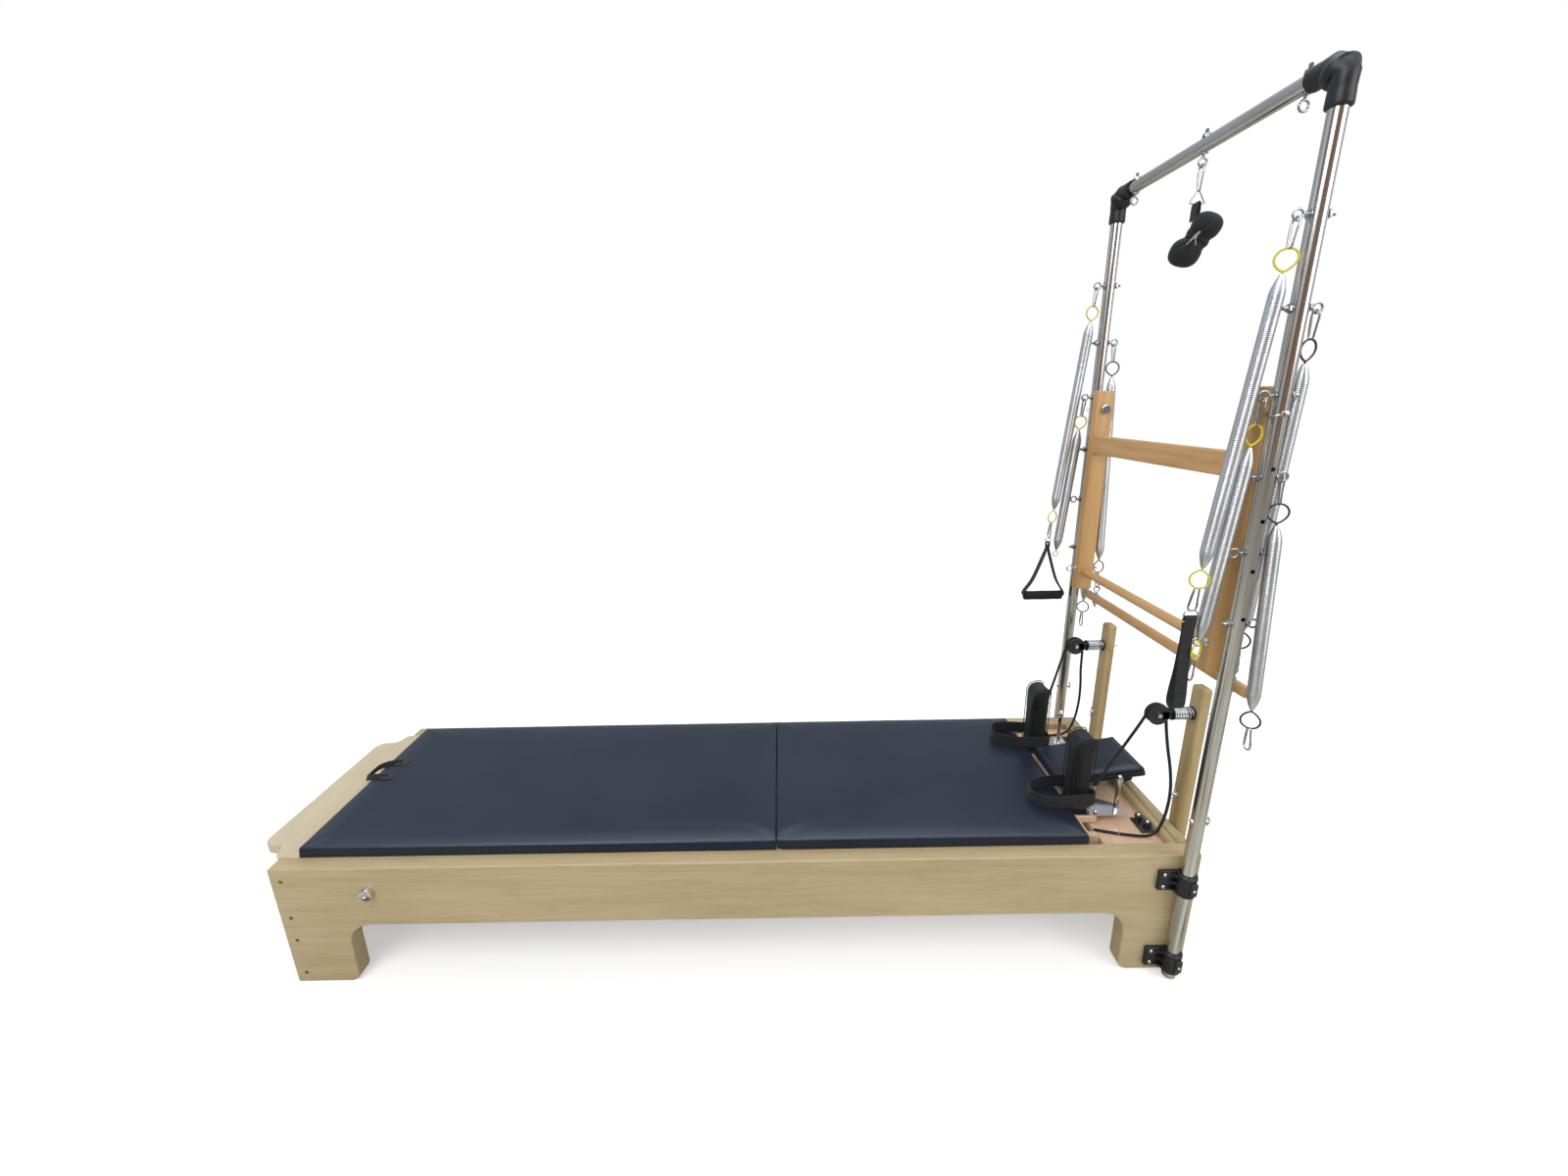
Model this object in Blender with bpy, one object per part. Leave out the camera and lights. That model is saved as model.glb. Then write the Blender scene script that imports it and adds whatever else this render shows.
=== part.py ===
"""Pilates reformer with a half tower, a conversion mat and hanging tower springs.

Metres, +Z up. X runs along the frame: the foot end is at -X and the tower at +X.
Y runs across it: the near side is at -Y. Lengths along X are first given from the
middle of the frame and are then shifted so that the whole stands centred on the origin.
"""
import math

import bmesh
import bpy
from mathutils import Matrix, Vector

# Clearances
GAP = 0.0003
BORE_CLEARANCE = 0.0004

# Wooden frame
FRAME_LENGTH = 2.400
FRAME_WIDTH = 0.710
RAIL_TOP = 0.366
RAIL_THICK = 0.048
ARCH_TOP = 0.187
LEG_LENGTH = 0.170
ARCH_RADIUS = 0.065
LEG_TOE_RADIUS = 0.022
WOOD_ROUND = 0.004
FOOT_BOARD_THICK = 0.034
FOOT_BOARD_INSET = 0.012
END_BOARD_BOTTOM = 0.030
HEAD_BOARD_THICK = 0.030
BATTEN_THICK = 0.022
BATTEN_HEIGHT = 0.060
FOOT_PLATE_OVERHANG = 0.093
FOOT_PLATE_INBOARD = 0.140
FOOT_PLATE_THICK = 0.030
FOOT_PLATE_NARROWING = 0.047
FOOT_PLATE_CORNER = 0.035
DECK_LENGTH = 0.160
DECK_THICK = 0.015
DECK_DROP = 0.021
TRACK_WIDTH = 0.040
TRACK_THICK = 0.010
TRACK_TOP = 0.272

# Footbar, folded down into the well
FOOTBAR_PIVOT_INSET = 0.249
FOOTBAR_PIVOT_Z = 0.293
FOOTBAR_TUBE = 0.028
FOOTBAR_HALF_WIDTH = 0.215
FOOTBAR_REACH = 0.330
FOOTBAR_DROP = 0.055
FOOTBAR_BEND = 0.050
SPRING_BAR_WIDTH = 0.460
SPRING_BAR_SIZE = 0.024

# Tower
TOWER_INSET = 0.045
TOWER_OUTSET = 0.020
TOWER_TUBE = 0.032
TUBE_SIDES = 14
TOP_BAR_Z = 2.059
TUBE_FOOT_Z = 0.004
ELBOW_RADIUS = 0.0205
ELBOW_LEG = 0.052
CLAMP_HEIGHT = 0.060
CLAMP_RING_RADIUS = 0.0235
CLAMP_PLATE_REACH = 0.063
CLAMP_PLATE_THICK = 0.011
UPPER_CLAMP_Z = 0.297
LOWER_CLAMP_Z = 0.052

# Eye bolts up the tower
EYE_TOP_DROP = 0.242
EYE_PITCH = 0.163
EYE_COUNT = 6
EYE_REACH = 0.036
EYE_RING_RADIUS = 0.0095
EYE_WIRE = 0.005
EYE_SHAFT = 0.008
NUT_RADIUS = 0.0085
NUT_THICK = 0.007
BOLT_TAIL = 0.010
BAR_EYE_SPACING = 0.290

# Push-through frame
PIVOT_DROP = 0.604
PIVOT_HOLE_PITCH = 0.1095
PIVOT_HOLE_COUNT = 4
PIVOT_HOLE = 0.009
PIVOT_BOLT = 0.009
PIVOT_KNOB_RADIUS = 0.014
PIVOT_KNOB_THICK = 0.010
ARM_WIDTH = 0.052
ARM_THICK = 0.034
ARM_INSET = 0.030
ARM_ABOVE_PIVOT = 0.055
ARM_BELOW_PIVOT = 0.585
ARM_EYE_RISE = 0.070
CROSSBAR_DROP = 0.108
CROSSBAR_HEIGHT = 0.056
CROSSBAR_THICK = 0.022
DOWEL_RISE = 0.060
DOWEL_DIAMETER = 0.026

# Tower springs
SPRING_OUTER = 0.027
SPRING_WIRE = 0.004
HOOK_LENGTH = 0.115
HOOK_HALF_WIDTH = 0.010
LONG_COIL = 0.560
SHORT_COIL = 0.400
CLIPPED_COIL = 0.380
CLIPPED_HOOK = 0.030
LONG_CURLS = 4
SHORT_CURLS = 3
CURL_POINTS = 8
INNER_LEAN = 0.091
LEG_LEAN = 0.080
OUTER_LEAN = 0.050

# Roll-down bar
ROLL_BAR_OVERHANG = 0.005
ROLL_BAR_DIAMETER = 0.028
ROLL_SPRING_LEAN = 0.063

# Strap, hand loop and cuff that hang from the tower
ARM_STRAP_LENGTH = 0.240
ARM_STRAP_WIDTH = 0.028
WEBBING_THICK = 0.0026
HANDLE_WIDTH = 0.142
HANDLE_DROP = 0.208
HANDLE_GRIP_RADIUS = 0.0155
HANDLE_WEB_WIDTH = 0.024
CUFF_ROLL_RADIUS = 0.032
CUFF_WIDTH = 0.070

# Risers with spring-cushioned pulleys
RISER_Y = 0.229
RISER_WIDTH = 0.044
RISER_DEPTH = 0.030
RISER_BOTTOM_Z = 0.120
RISER_DROP = 1.284
RISER_ROUND = 0.009
RISER_KNOB_Z = 0.455
PULLEY_DROP = 0.075
PULLEY_REACH = 0.092
SHEAVE_RADIUS = 0.0245
SHEAVE_GROOVE = 0.0195
SHEAVE_WIDTH = 0.0125
CHEEK_RADIUS = 0.0275
CHEEK_THICK = 0.0045
AXLE_RADIUS = 0.004
CUSHION_SPRING_OUTER = 0.034
CUSHION_SPRING_WIRE = 0.0032
CUSHION_SPRING_LENGTH = 0.052
CUSHION_CURLS = 3

# Cleats and ropes
CLEAT_INSET = 0.072
CLEAT_Y = 0.215
CAM_RADIUS = 0.0105
CAM_HEIGHT = 0.020
ROPE_DIAMETER = 0.008

# Carriage
PAD_MARGIN = 0.043
PAD_TOP = 0.394
SEAM_X = 0.113
PAD_HEAD_INSET = 0.263
CARRIAGE_LIFT = 0.0017
PAD_THICK = 0.026
PLATFORM_THICK = 0.016
PLATFORM_TONGUE = 0.068
TONGUE_HALF_WIDTH = 0.205
BEAM_CLEARANCE = 0.052
BEAM_THICK = 0.020
BEAM_ABOVE_TRACK = 0.0177
WHEEL_RADIUS = 0.025
WHEEL_WIDTH = 0.016
WHEEL_BASE = 0.600
PAD_CROWN = 0.0035
PAD_EDGE_ROUND = 0.010

# Headrest, shoulder rests and strap posts
HEADREST_LENGTH = 0.262
HEADREST_HALF_WIDTH = 0.093
HEADREST_THICK = 0.030
HEADREST_TILT = math.radians(7.6)
HEADREST_HINGE_Z = 0.386
HINGE_HALF_WIDTH = 0.050
HINGE_DEPTH = 0.030
SHOULDER_OUTSET = 0.0035
SHOULDER_DEPTH = 0.055
SHOULDER_INNER_Y = 0.111
SHOULDER_WIDTH = 0.075
SHOULDER_TOP = 0.600
SHOULDER_ROUND = 0.030
PLATE_THICK = 0.005
PLATE_REACH = 0.149
POST_REACH = 0.129
POST_Y = 0.184
POST_RADIUS = 0.006
POST_TOP = 0.476
POST_BALL = 0.009
LOOP_HEIGHT = 0.038

# Conversion mat
MAT_FOOT_INSET = 0.049
MAT_TOP = 0.394

# Place of the frame's middle, so that the whole is centred on the origin
FRONT_END = FRAME_LENGTH / 2 + FOOT_PLATE_OVERHANG
BACK_END = FRAME_LENGTH / 2 + GAP + RISER_DEPTH + GAP + NUT_THICK
MIDDLE_X = (FRONT_END - BACK_END) / 2

# Derived places
HALF_LENGTH = FRAME_LENGTH / 2
INNER_Y = FRAME_WIDTH / 2 - RAIL_THICK
FOOTBAR_PIVOT_X = FOOTBAR_PIVOT_INSET - HALF_LENGTH
MAT_FOOT_X = MAT_FOOT_INSET - HALF_LENGTH
TUBE_RADIUS = TOWER_TUBE / 2
TOWER_X = HALF_LENGTH - TOWER_INSET
TOWER_HALF_WIDTH = FRAME_WIDTH / 2 + TOWER_OUTSET
EYE_TOP_Z = TOP_BAR_Z - EYE_TOP_DROP
PIVOT_Z = TOP_BAR_Z - PIVOT_DROP
ROLL_BAR_LENGTH = 2 * (TOWER_HALF_WIDTH + ROLL_BAR_OVERHANG)
RISER_TOP_Z = TOP_BAR_Z - RISER_DROP
PULLEY_Z = RISER_TOP_Z - PULLEY_DROP
ARM_OUTER_Y = TOWER_HALF_WIDTH - ARM_INSET
ARM_BOTTOM_Z = PIVOT_Z - ARM_BELOW_PIVOT
ARM_EYE_Z = ARM_BOTTOM_Z + ARM_EYE_RISE
CROSSBAR_Z = PIVOT_Z - CROSSBAR_DROP
DOWEL_Z = ARM_BOTTOM_Z + DOWEL_RISE
HEAD_BOARD_X = HALF_LENGTH - HEAD_BOARD_THICK
BATTEN_X = HEAD_BOARD_X - GAP - BATTEN_THICK
DECK_TOP = RAIL_TOP - DECK_DROP
RISER_X = HALF_LENGTH + GAP
CLEAT_X = HALF_LENGTH - CLEAT_INSET
PULLEY_X = RISER_X - PULLEY_REACH
PULLEY_BACK = PULLEY_X + CHEEK_RADIUS + 0.0065
HOOK_TOP = -(EYE_RING_RADIUS - EYE_WIRE / 2 - SPRING_WIRE / 2 - 0.0012)
ROPE_REACH = SHEAVE_GROOVE + ROPE_DIAMETER / 2 + 0.0017
PLATFORM_TOP = RAIL_TOP + CARRIAGE_LIFT
PAD_HALF_WIDTH = FRAME_WIDTH / 2 - PAD_MARGIN
PAD_HEAD_X = HALF_LENGTH - PAD_HEAD_INSET
PLATFORM_HEAD_X = PAD_HEAD_X + 0.002
BEAM_Y = INNER_Y - BEAM_CLEARANCE
BEAM_HEIGHT = PLATFORM_TOP - PLATFORM_THICK - TRACK_TOP - BEAM_ABOVE_TRACK
SHOULDER_X = PAD_HEAD_X + SHOULDER_OUTSET
PLATE_END_X = PAD_HEAD_X + PLATE_REACH
POST_X = PAD_HEAD_X + POST_REACH
SIDES = {"near": -1, "far": 1}


def material(name, color, roughness, metallic=0.0):
    """A Principled material in one colour."""
    mat = bpy.data.materials.new(name)
    mat.use_nodes = True
    shader = mat.node_tree.nodes["Principled BSDF"]
    shader.inputs["Base Color"].default_value = (*color, 1.0)
    shader.inputs["Roughness"].default_value = roughness
    shader.inputs["Metallic"].default_value = metallic
    mat.diffuse_color = (*color, 1.0)
    return mat


def clear_scene():
    for obj in list(bpy.data.objects):
        bpy.data.objects.remove(obj, do_unlink=True)


def empty(name, place, parent=None):
    """A frame for a moving body, placed on its joint's axis."""
    obj = bpy.data.objects.new(name, None)
    bpy.context.scene.collection.objects.link(obj)
    obj.location = place
    if parent:
        obj.parent = parent
        obj.location = Vector(place) - world_place(parent)
    return obj


def world_place(obj):
    place = Vector((0, 0, 0))
    while obj:
        place += obj.location
        obj = obj.parent
    return place


def add(name, mesh, mat, parent):
    """Make the sub-part's object. The mesh is drawn from the middle of the frame."""
    origin = world_place(parent) - world_place(BODIES["frame"])
    mesh = mesh.copy()
    mesh.transform(Matrix.Translation(-origin))
    mesh.materials.clear()
    mesh.materials.append(MATERIALS[mat])
    mesh.shade_smooth()
    mesh.set_sharp_from_angle(angle=math.radians(38))
    obj = bpy.data.objects.new(name, mesh)
    bpy.context.scene.collection.objects.link(obj)
    obj.parent = parent
    return obj


def to_mesh(bm):
    bmesh.ops.recalc_face_normals(bm, faces=bm.faces)
    mesh = bpy.data.meshes.new("shape")
    bm.to_mesh(mesh)
    bm.free()
    return mesh


def moved(mesh, place=(0, 0, 0), turn=None):
    if turn:
        mesh.transform(turn)
    mesh.transform(Matrix.Translation(place))
    return mesh


def bevelled(bm, width, segments=2, angle=30):
    """Round the edges that turn by more than the given angle."""
    edges = [e for e in bm.edges if e.calc_face_angle(0) > math.radians(angle)]
    if width > 0:
        bmesh.ops.bevel(bm, geom=edges, offset=width, segments=segments, affect='EDGES', profile=0.5)
    return bm


def box(low, high, round_width=0.0, segments=2):
    bm = bmesh.new()
    bmesh.ops.create_cube(bm, size=1.0)
    low, high = Vector(low), Vector(high)
    for vert in bm.verts:
        vert.co = Vector(l + (h - l) * (c + 0.5) for l, h, c in zip(low, high, vert.co))
    return to_mesh(bevelled(bm, round_width, segments))


def prism(outline, axis, start, end, round_width=0.0, segments=2, angle=30):
    """Extrude an outline of two coordinates along the third axis."""
    order = {"X": (1, 2), "Y": (0, 2), "Z": (0, 1)}[axis]
    along = "XYZ".index(axis)
    bm = bmesh.new()
    verts = []
    for first, second in outline:
        co = [0.0, 0.0, 0.0]
        co[order[0]], co[order[1]], co[along] = first, second, start
        verts.append(bm.verts.new(co))
    face = bm.faces.new(verts)
    out = bmesh.ops.extrude_face_region(bm, geom=[face])
    step = Vector([end - start if i == along else 0.0 for i in range(3)])
    bmesh.ops.translate(bm, vec=step, verts=[g for g in out["geom"] if isinstance(g, bmesh.types.BMVert)])
    bmesh.ops.recalc_face_normals(bm, faces=bm.faces)
    return to_mesh(bevelled(bm, round_width, segments, angle))


def arc(centre, radius, start, end, steps):
    """Points on an arc, with angles in degrees."""
    turns = [math.radians(start + (end - start) * i / steps) for i in range(steps + 1)]
    return [(centre[0] + radius * math.cos(a), centre[1] + radius * math.sin(a)) for a in turns]


def revolve(profile, sides, closed=False):
    """Turn a profile of (radius, height) points round the Z axis."""
    bm = bmesh.new()
    rings = []
    for radius, height in profile:
        if radius < 1e-6:
            rings.append([bm.verts.new((0, 0, height))])
            continue
        turns = [2 * math.pi * i / sides for i in range(sides)]
        rings.append([bm.verts.new((radius * math.cos(a), radius * math.sin(a), height)) for a in turns])
    pairs = list(zip(rings, rings[1:])) + ([(rings[-1], rings[0])] if closed else [])
    for lower, upper in pairs:
        for i in range(sides):
            j = (i + 1) % sides
            corners = [lower[i % len(lower)], lower[j % len(lower)]]
            corners += [upper[j % len(upper)], upper[i % len(upper)]]
            bm.faces.new(list(dict.fromkeys(corners)))
    if not closed:
        for ring in (rings[0], rings[-1]):
            if len(ring) > 1:
                bm.faces.new(ring)
    return to_mesh(bm)


def turn_to(direction):
    return Vector((0, 0, 1)).rotation_difference(Vector(direction)).to_matrix().to_4x4()


def rod(start, end, radius, sides=12):
    """A round bar between two points."""
    start, end = Vector(start), Vector(end)
    mesh = revolve([(radius, 0.0), (radius, (end - start).length)], sides)
    return moved(mesh, start, turn_to(end - start))


def ring(centre, axis, radius, wire, sides=8, wire_sides=4):
    """A round ring of wire, with its hole along the axis."""
    turns = [2 * math.pi * (i + 0.5) / wire_sides for i in range(wire_sides)]
    profile = [(radius + wire / 2 * math.cos(a), wire / 2 * math.sin(a)) for a in turns]
    return moved(revolve(profile, sides, closed=True), centre, turn_to(axis))


def combined(operation, base, *others):
    """Union with, or difference from, other meshes by exact Booleans."""
    scene = bpy.context.scene.collection
    objs = [bpy.data.objects.new("work", m) for m in (base, *others)]
    for obj in objs:
        scene.objects.link(obj)
    for other in objs[1:]:
        mod = objs[0].modifiers.new("cut", 'BOOLEAN')
        mod.operation = operation
        mod.solver = 'EXACT'
        mod.object = other
    graph = bpy.context.evaluated_depsgraph_get()
    result = bpy.data.meshes.new_from_object(objs[0].evaluated_get(graph))
    for obj in objs:
        bpy.data.objects.remove(obj, do_unlink=True)
    bm = bmesh.new()
    bm.from_mesh(result)
    bmesh.ops.remove_doubles(bm, verts=bm.verts, dist=1e-6)
    bmesh.ops.dissolve_degenerate(bm, edges=bm.edges, dist=1e-6)
    return to_mesh(bm)


def union(base, *others):
    return combined('UNION', base, *others)


def cut(base, *others):
    return combined('DIFFERENCE', base, *others)


def mirrored(mesh):
    """The same shape on the other side of the frame."""
    mesh = mesh.copy()
    mesh.transform(Matrix.Scale(-1, 4, (0, 1, 0)))
    mesh.flip_normals()
    return mesh


def tube_curve(name, points, diameter, mat, parent, resolution):
    """A tube with filled caps along a list of points."""
    curve = bpy.data.curves.new(name, 'CURVE')
    curve.dimensions = '3D'
    curve.bevel_depth = diameter / 2
    curve.bevel_resolution = resolution
    curve.use_fill_caps = True
    spline = curve.splines.new('POLY')
    spline.points.add(len(points) - 1)
    origin = world_place(parent) - world_place(BODIES["frame"])
    for target, point in zip(spline.points, points):
        target.co = (*(Vector(point) - origin), 1.0)
    curve.materials.append(MATERIALS[mat])
    obj = bpy.data.objects.new(name, curve)
    bpy.context.scene.collection.objects.link(obj)
    obj.parent = parent
    return obj


def smooth_route(points, spacing):
    """Points at an even spacing on a smooth curve through the route's own points."""
    pts = [Vector(p) for p in points]
    pts = [pts[0] * 2 - pts[1], *pts, pts[-1] * 2 - pts[-2]]
    dense = []
    for a, b, c, d in zip(pts, pts[1:], pts[2:], pts[3:]):
        for i in range(16):
            t = i / 16
            dense.append(0.5 * (2 * b + (c - a) * t + (2 * a - 5 * b + 4 * c - d) * t ** 2
                                + (3 * b - a - 3 * c + d) * t ** 3))
    dense.append(pts[-2])
    run = [0.0]
    for a, b in zip(dense, dense[1:]):
        run.append(run[-1] + (b - a).length)
    count = max(2, round(run[-1] / spacing))
    out, k = [], 0
    for i in range(count + 1):
        goal = run[-1] * i / count
        while k < len(run) - 2 and run[k + 1] < goal:
            k += 1
        share = (goal - run[k]) / (run[k + 1] - run[k])
        out.append(dense[k].lerp(dense[k + 1], min(max(share, 0.0), 1.0)))
    return out


def band(path, width_axis, width, thick, closed=True, pinch=None):
    """A flat strap of webbing along a path. Pinch gives shares of the width, point by point."""
    axis = Vector(width_axis).normalized()
    pts = [Vector(p) for p in path]
    shares = pinch or [1.0] * len(pts)
    bm = bmesh.new()
    rows = []
    count = len(pts)
    for i, point in enumerate(pts):
        before = pts[i - 1] if closed or i else point
        after = pts[(i + 1) % count] if closed or i < count - 1 else point
        side = (after - before).cross(axis).normalized() * thick / 2
        half = axis * width / 2 * shares[i]
        corners = (side + half, -side + half, -side - half, side - half)
        rows.append([bm.verts.new(point + corner) for corner in corners])
    steps = range(count if closed else count - 1)
    for i in steps:
        a, b = rows[i], rows[(i + 1) % count]
        for j in range(4):
            k = (j + 1) % 4
            bm.faces.new((a[j], a[k], b[k], b[j]))
    if not closed:
        bm.faces.new(rows[0])
        bm.faces.new(rows[-1])
    return to_mesh(bm)


def cushion(low, high, crown, edge, cells=(8, 5)):
    """A padded block: crowned top, rounded upper edge, sides drawn in between the corners."""
    low, high = Vector(low), Vector(high)
    size = high - low
    rows, cols = cells
    inset = min(edge, size.z / 2)
    levels = ((0.0, 0.0), (0.0, 1.0 - inset / size.z), (0.45 * inset, 1.0 - 0.25 * inset / size.z),
              (1.3 * inset, 1.0))
    bm = bmesh.new()

    def place(u, v, level):
        shrink, height = level
        draw = 0.25 * crown * height
        x = low.x + shrink + (size.x - 2 * shrink) * u
        y = low.y + shrink + (size.y - 2 * shrink) * v
        x += draw * (1 - 2 * u) * math.sin(math.pi * v) if u in (0.0, 1.0) else 0.0
        y += draw * (1 - 2 * v) * math.sin(math.pi * u) if v in (0.0, 1.0) else 0.0
        dome = (4 * u * (1 - u) * 4 * v * (1 - v)) ** 0.35 if level is levels[-1] else 0.0
        return Vector((x, y, low.z + (size.z - crown) * height + crown * dome))

    def edge_marks():
        marks = [(i / rows, 0.0) for i in range(rows)]
        marks += [(1.0, j / cols) for j in range(cols)]
        marks += [(1.0 - i / rows, 1.0) for i in range(rows)]
        marks += [(0.0, 1.0 - j / cols) for j in range(cols)]
        return marks

    top = {(i, j): bm.verts.new(place(i / rows, j / cols, levels[-1]))
           for i in range(rows + 1) for j in range(cols + 1)}
    for i in range(rows):
        for j in range(cols):
            bm.faces.new((top[i, j], top[i + 1, j], top[i + 1, j + 1], top[i, j + 1]))
    loops = [[bm.verts.new(place(u, v, level)) for u, v in edge_marks()] for level in levels[:-1]]
    loops.append([top[round(u * rows), round(v * cols)] for u, v in edge_marks()])
    for lower, upper in zip(loops, loops[1:]):
        for i in range(len(lower)):
            j = (i + 1) % len(lower)
            bm.faces.new((lower[i], lower[j], upper[j], upper[i]))
    bm.faces.new(loops[0])
    return to_mesh(bm)


def nut(centre, axis):
    """A hexagon nut, centred on a bolt's axis."""
    mesh = revolve([(NUT_RADIUS, -NUT_THICK / 2), (NUT_RADIUS, NUT_THICK / 2)], 6)
    return moved(mesh, centre, turn_to(axis))


def eye_bolt(seat, direction, through, bite=0.001):
    """An eye, its shaft and the nut at its far end, for a bar whose near surface is at the seat."""
    direction = Vector(direction)
    seat = Vector(seat)
    reach = EYE_REACH - TUBE_RADIUS
    side_axis = (0, 1, 0)
    eye = ring(seat + direction * reach, side_axis, EYE_RING_RADIUS, EYE_WIRE)
    neck = reach - EYE_RING_RADIUS
    shaft = rod(seat + direction * neck, seat - direction * (through + NUT_THICK + BOLT_TAIL), EYE_SHAFT / 2, 6)
    end_nut = nut(seat - direction * (through + NUT_THICK / 2 - bite), direction)
    return [eye, shaft, end_nut]


def rail_outline():
    """Side view of a rail: a long board whose underside is arched between two legs."""
    foot = -HALF_LENGTH + LEG_LENGTH
    head = HALF_LENGTH - LEG_LENGTH
    toe, bend = LEG_TOE_RADIUS, ARCH_RADIUS
    points = [(-HALF_LENGTH, 0.0), (-HALF_LENGTH, RAIL_TOP), (HALF_LENGTH, RAIL_TOP), (HALF_LENGTH, 0.0)]
    points += arc((head + toe, toe), toe, 270, 180, 2)
    points += arc((head - bend, ARCH_TOP - bend), bend, 0, 90, 4)
    points += arc((foot + bend, ARCH_TOP - bend), bend, 90, 180, 4)
    points += arc((foot - toe, toe), toe, 0, -90, 2)
    return points


def build_rails():
    outer = FRAME_WIDTH / 2
    track_foot = -HALF_LENGTH + FOOT_BOARD_INSET + FOOT_BOARD_THICK + GAP
    rail = prism(rail_outline(), "Y", -outer, -INNER_Y, WOOD_ROUND, 2, 40)
    track = box((track_foot, -INNER_Y - 0.002, TRACK_TOP - TRACK_THICK),
                (PAD_HEAD_X, -INNER_Y + TRACK_WIDTH, TRACK_TOP))
    profile = [(0.0, -0.004), (0.011, -0.004), (0.016, 0.002), (0.016, 0.009), (0.011, 0.013), (0.0, 0.014)]
    knob = moved(revolve(profile, 10), (FOOTBAR_PIVOT_X, -outer, FOOTBAR_PIVOT_Z), turn_to((0, -1, 0)))
    rail = union(rail, track, knob)
    add("rail_near", rail, "maple", BODIES["frame"])
    add("rail_far", mirrored(rail), "maple", BODIES["frame"])


def build_end_boards():
    wide = INNER_Y - GAP
    low = -HALF_LENGTH + FOOT_BOARD_INSET
    top = RAIL_TOP - FOOT_PLATE_THICK - GAP
    board = box((low, -wide, END_BOARD_BOTTOM), (low + FOOT_BOARD_THICK, wide, top), WOOD_ROUND)
    inner = low + FOOT_BOARD_THICK
    half = SPRING_BAR_WIDTH / 2
    low_z = top - 0.045
    bar = box((inner - 0.002, -half, low_z), (inner + SPRING_BAR_SIZE, half, low_z + SPRING_BAR_SIZE))
    pegs = []
    for i in range(4):
        y = (i - 1.5) * SPRING_BAR_WIDTH / 4
        z = top - 0.045 + SPRING_BAR_SIZE / 2
        face = inner + SPRING_BAR_SIZE
        pegs.append(rod((face - 0.002, y, z), (face + 0.018, y, z), 0.005, 6))
    add("foot_end_board", union(board, bar, *pegs), "maple", BODIES["frame"])

    tip = 0.009
    head = prism([(HEAD_BOARD_X, END_BOARD_BOTTOM), (HALF_LENGTH, END_BOARD_BOTTOM)]
                 + arc((HALF_LENGTH - tip, RAIL_TOP - tip), tip, 0, 90, 3)
                 + arc((HEAD_BOARD_X + tip, RAIL_TOP - tip), tip, 90, 180, 3),
                 "Y", -wide, wide, 0.0)
    low_z = RAIL_TOP - BATTEN_HEIGHT
    over = BATTEN_X + BATTEN_THICK + 0.002
    batten = prism([(BATTEN_X, low_z), (over, low_z), (over, RAIL_TOP - tip)]
                   + arc((BATTEN_X + BATTEN_THICK - tip, RAIL_TOP - 0.002 - tip), tip, 20, 90, 3)
                   + arc((BATTEN_X + tip, RAIL_TOP - 0.002 - tip), tip, 90, 180, 3),
                   "Y", -wide + 0.0005, wide - 0.0005, 0.0)
    add("head_end_board", union(head, batten), "maple", BODIES["frame"])


def build_foot_plate():
    """The standing platform: a tongue past the foot end that widens in an ogee to the frame."""
    end = -HALF_LENGTH
    tip = end - FOOT_PLATE_OVERHANG
    wide = INNER_Y - GAP
    narrow = wide - FOOT_PLATE_NARROWING
    turn = FOOT_PLATE_NARROWING / 2
    corner = FOOT_PLATE_CORNER
    near = [(end + FOOT_PLATE_INBOARD, -wide), (end + turn, -wide)]
    near += arc((end, -wide + turn), turn, 270, 180, 4)[1:]
    near += arc((end - 2 * turn, -wide + turn), turn, 0, 90, 4)[1:]
    near += arc((tip + corner, -narrow + corner), corner, 270, 180, 5)
    far = [(x, -y) for x, y in reversed(near)]
    plate = prism(near + far, "Z", RAIL_TOP - FOOT_PLATE_THICK, RAIL_TOP, 0.003, 1, 40)
    add("foot_plate", plate, "maple", BODIES["frame"])


def build_deck():
    wide = INNER_Y - GAP
    deck = box((BATTEN_X - GAP - DECK_LENGTH, -wide, DECK_TOP - DECK_THICK), (BATTEN_X - GAP, wide, DECK_TOP))
    add("head_deck", deck, "plywood", BODIES["frame"])


def build_footbar():
    """The footbar lies folded in the well: a bent tube hung on two pivot pins."""
    x, z = FOOTBAR_PIVOT_X, FOOTBAR_PIVOT_Z
    end_x, end_z = x + FOOTBAR_REACH, z - FOOTBAR_DROP
    wide, bend = FOOTBAR_HALF_WIDTH, FOOTBAR_BEND
    slope = Vector((end_x - x, 0, end_z - z)).normalized()
    corner = Vector((end_x, 0, end_z))
    near = [Vector((x, -wide, z))]
    for i in range(5):
        a = math.radians(90 * i / 4)
        across = Vector((0, -wide + bend * (1 - math.cos(a)), 0))
        near.append(corner - slope * bend * (1 - math.sin(a)) + across)
    points = near + [Vector((p.x, -p.y, p.z)) for p in reversed(near)]
    bar = swept(points, FOOTBAR_TUBE / 2, 8)
    reach = INNER_Y - GAP
    pins = [rod((x, side * (wide - 0.004), z), (x, side * reach, z), 0.007, 10) for side in (-1, 1)]
    add("footbar", union(bar, *pins), "chrome", BODIES["frame"])


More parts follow.
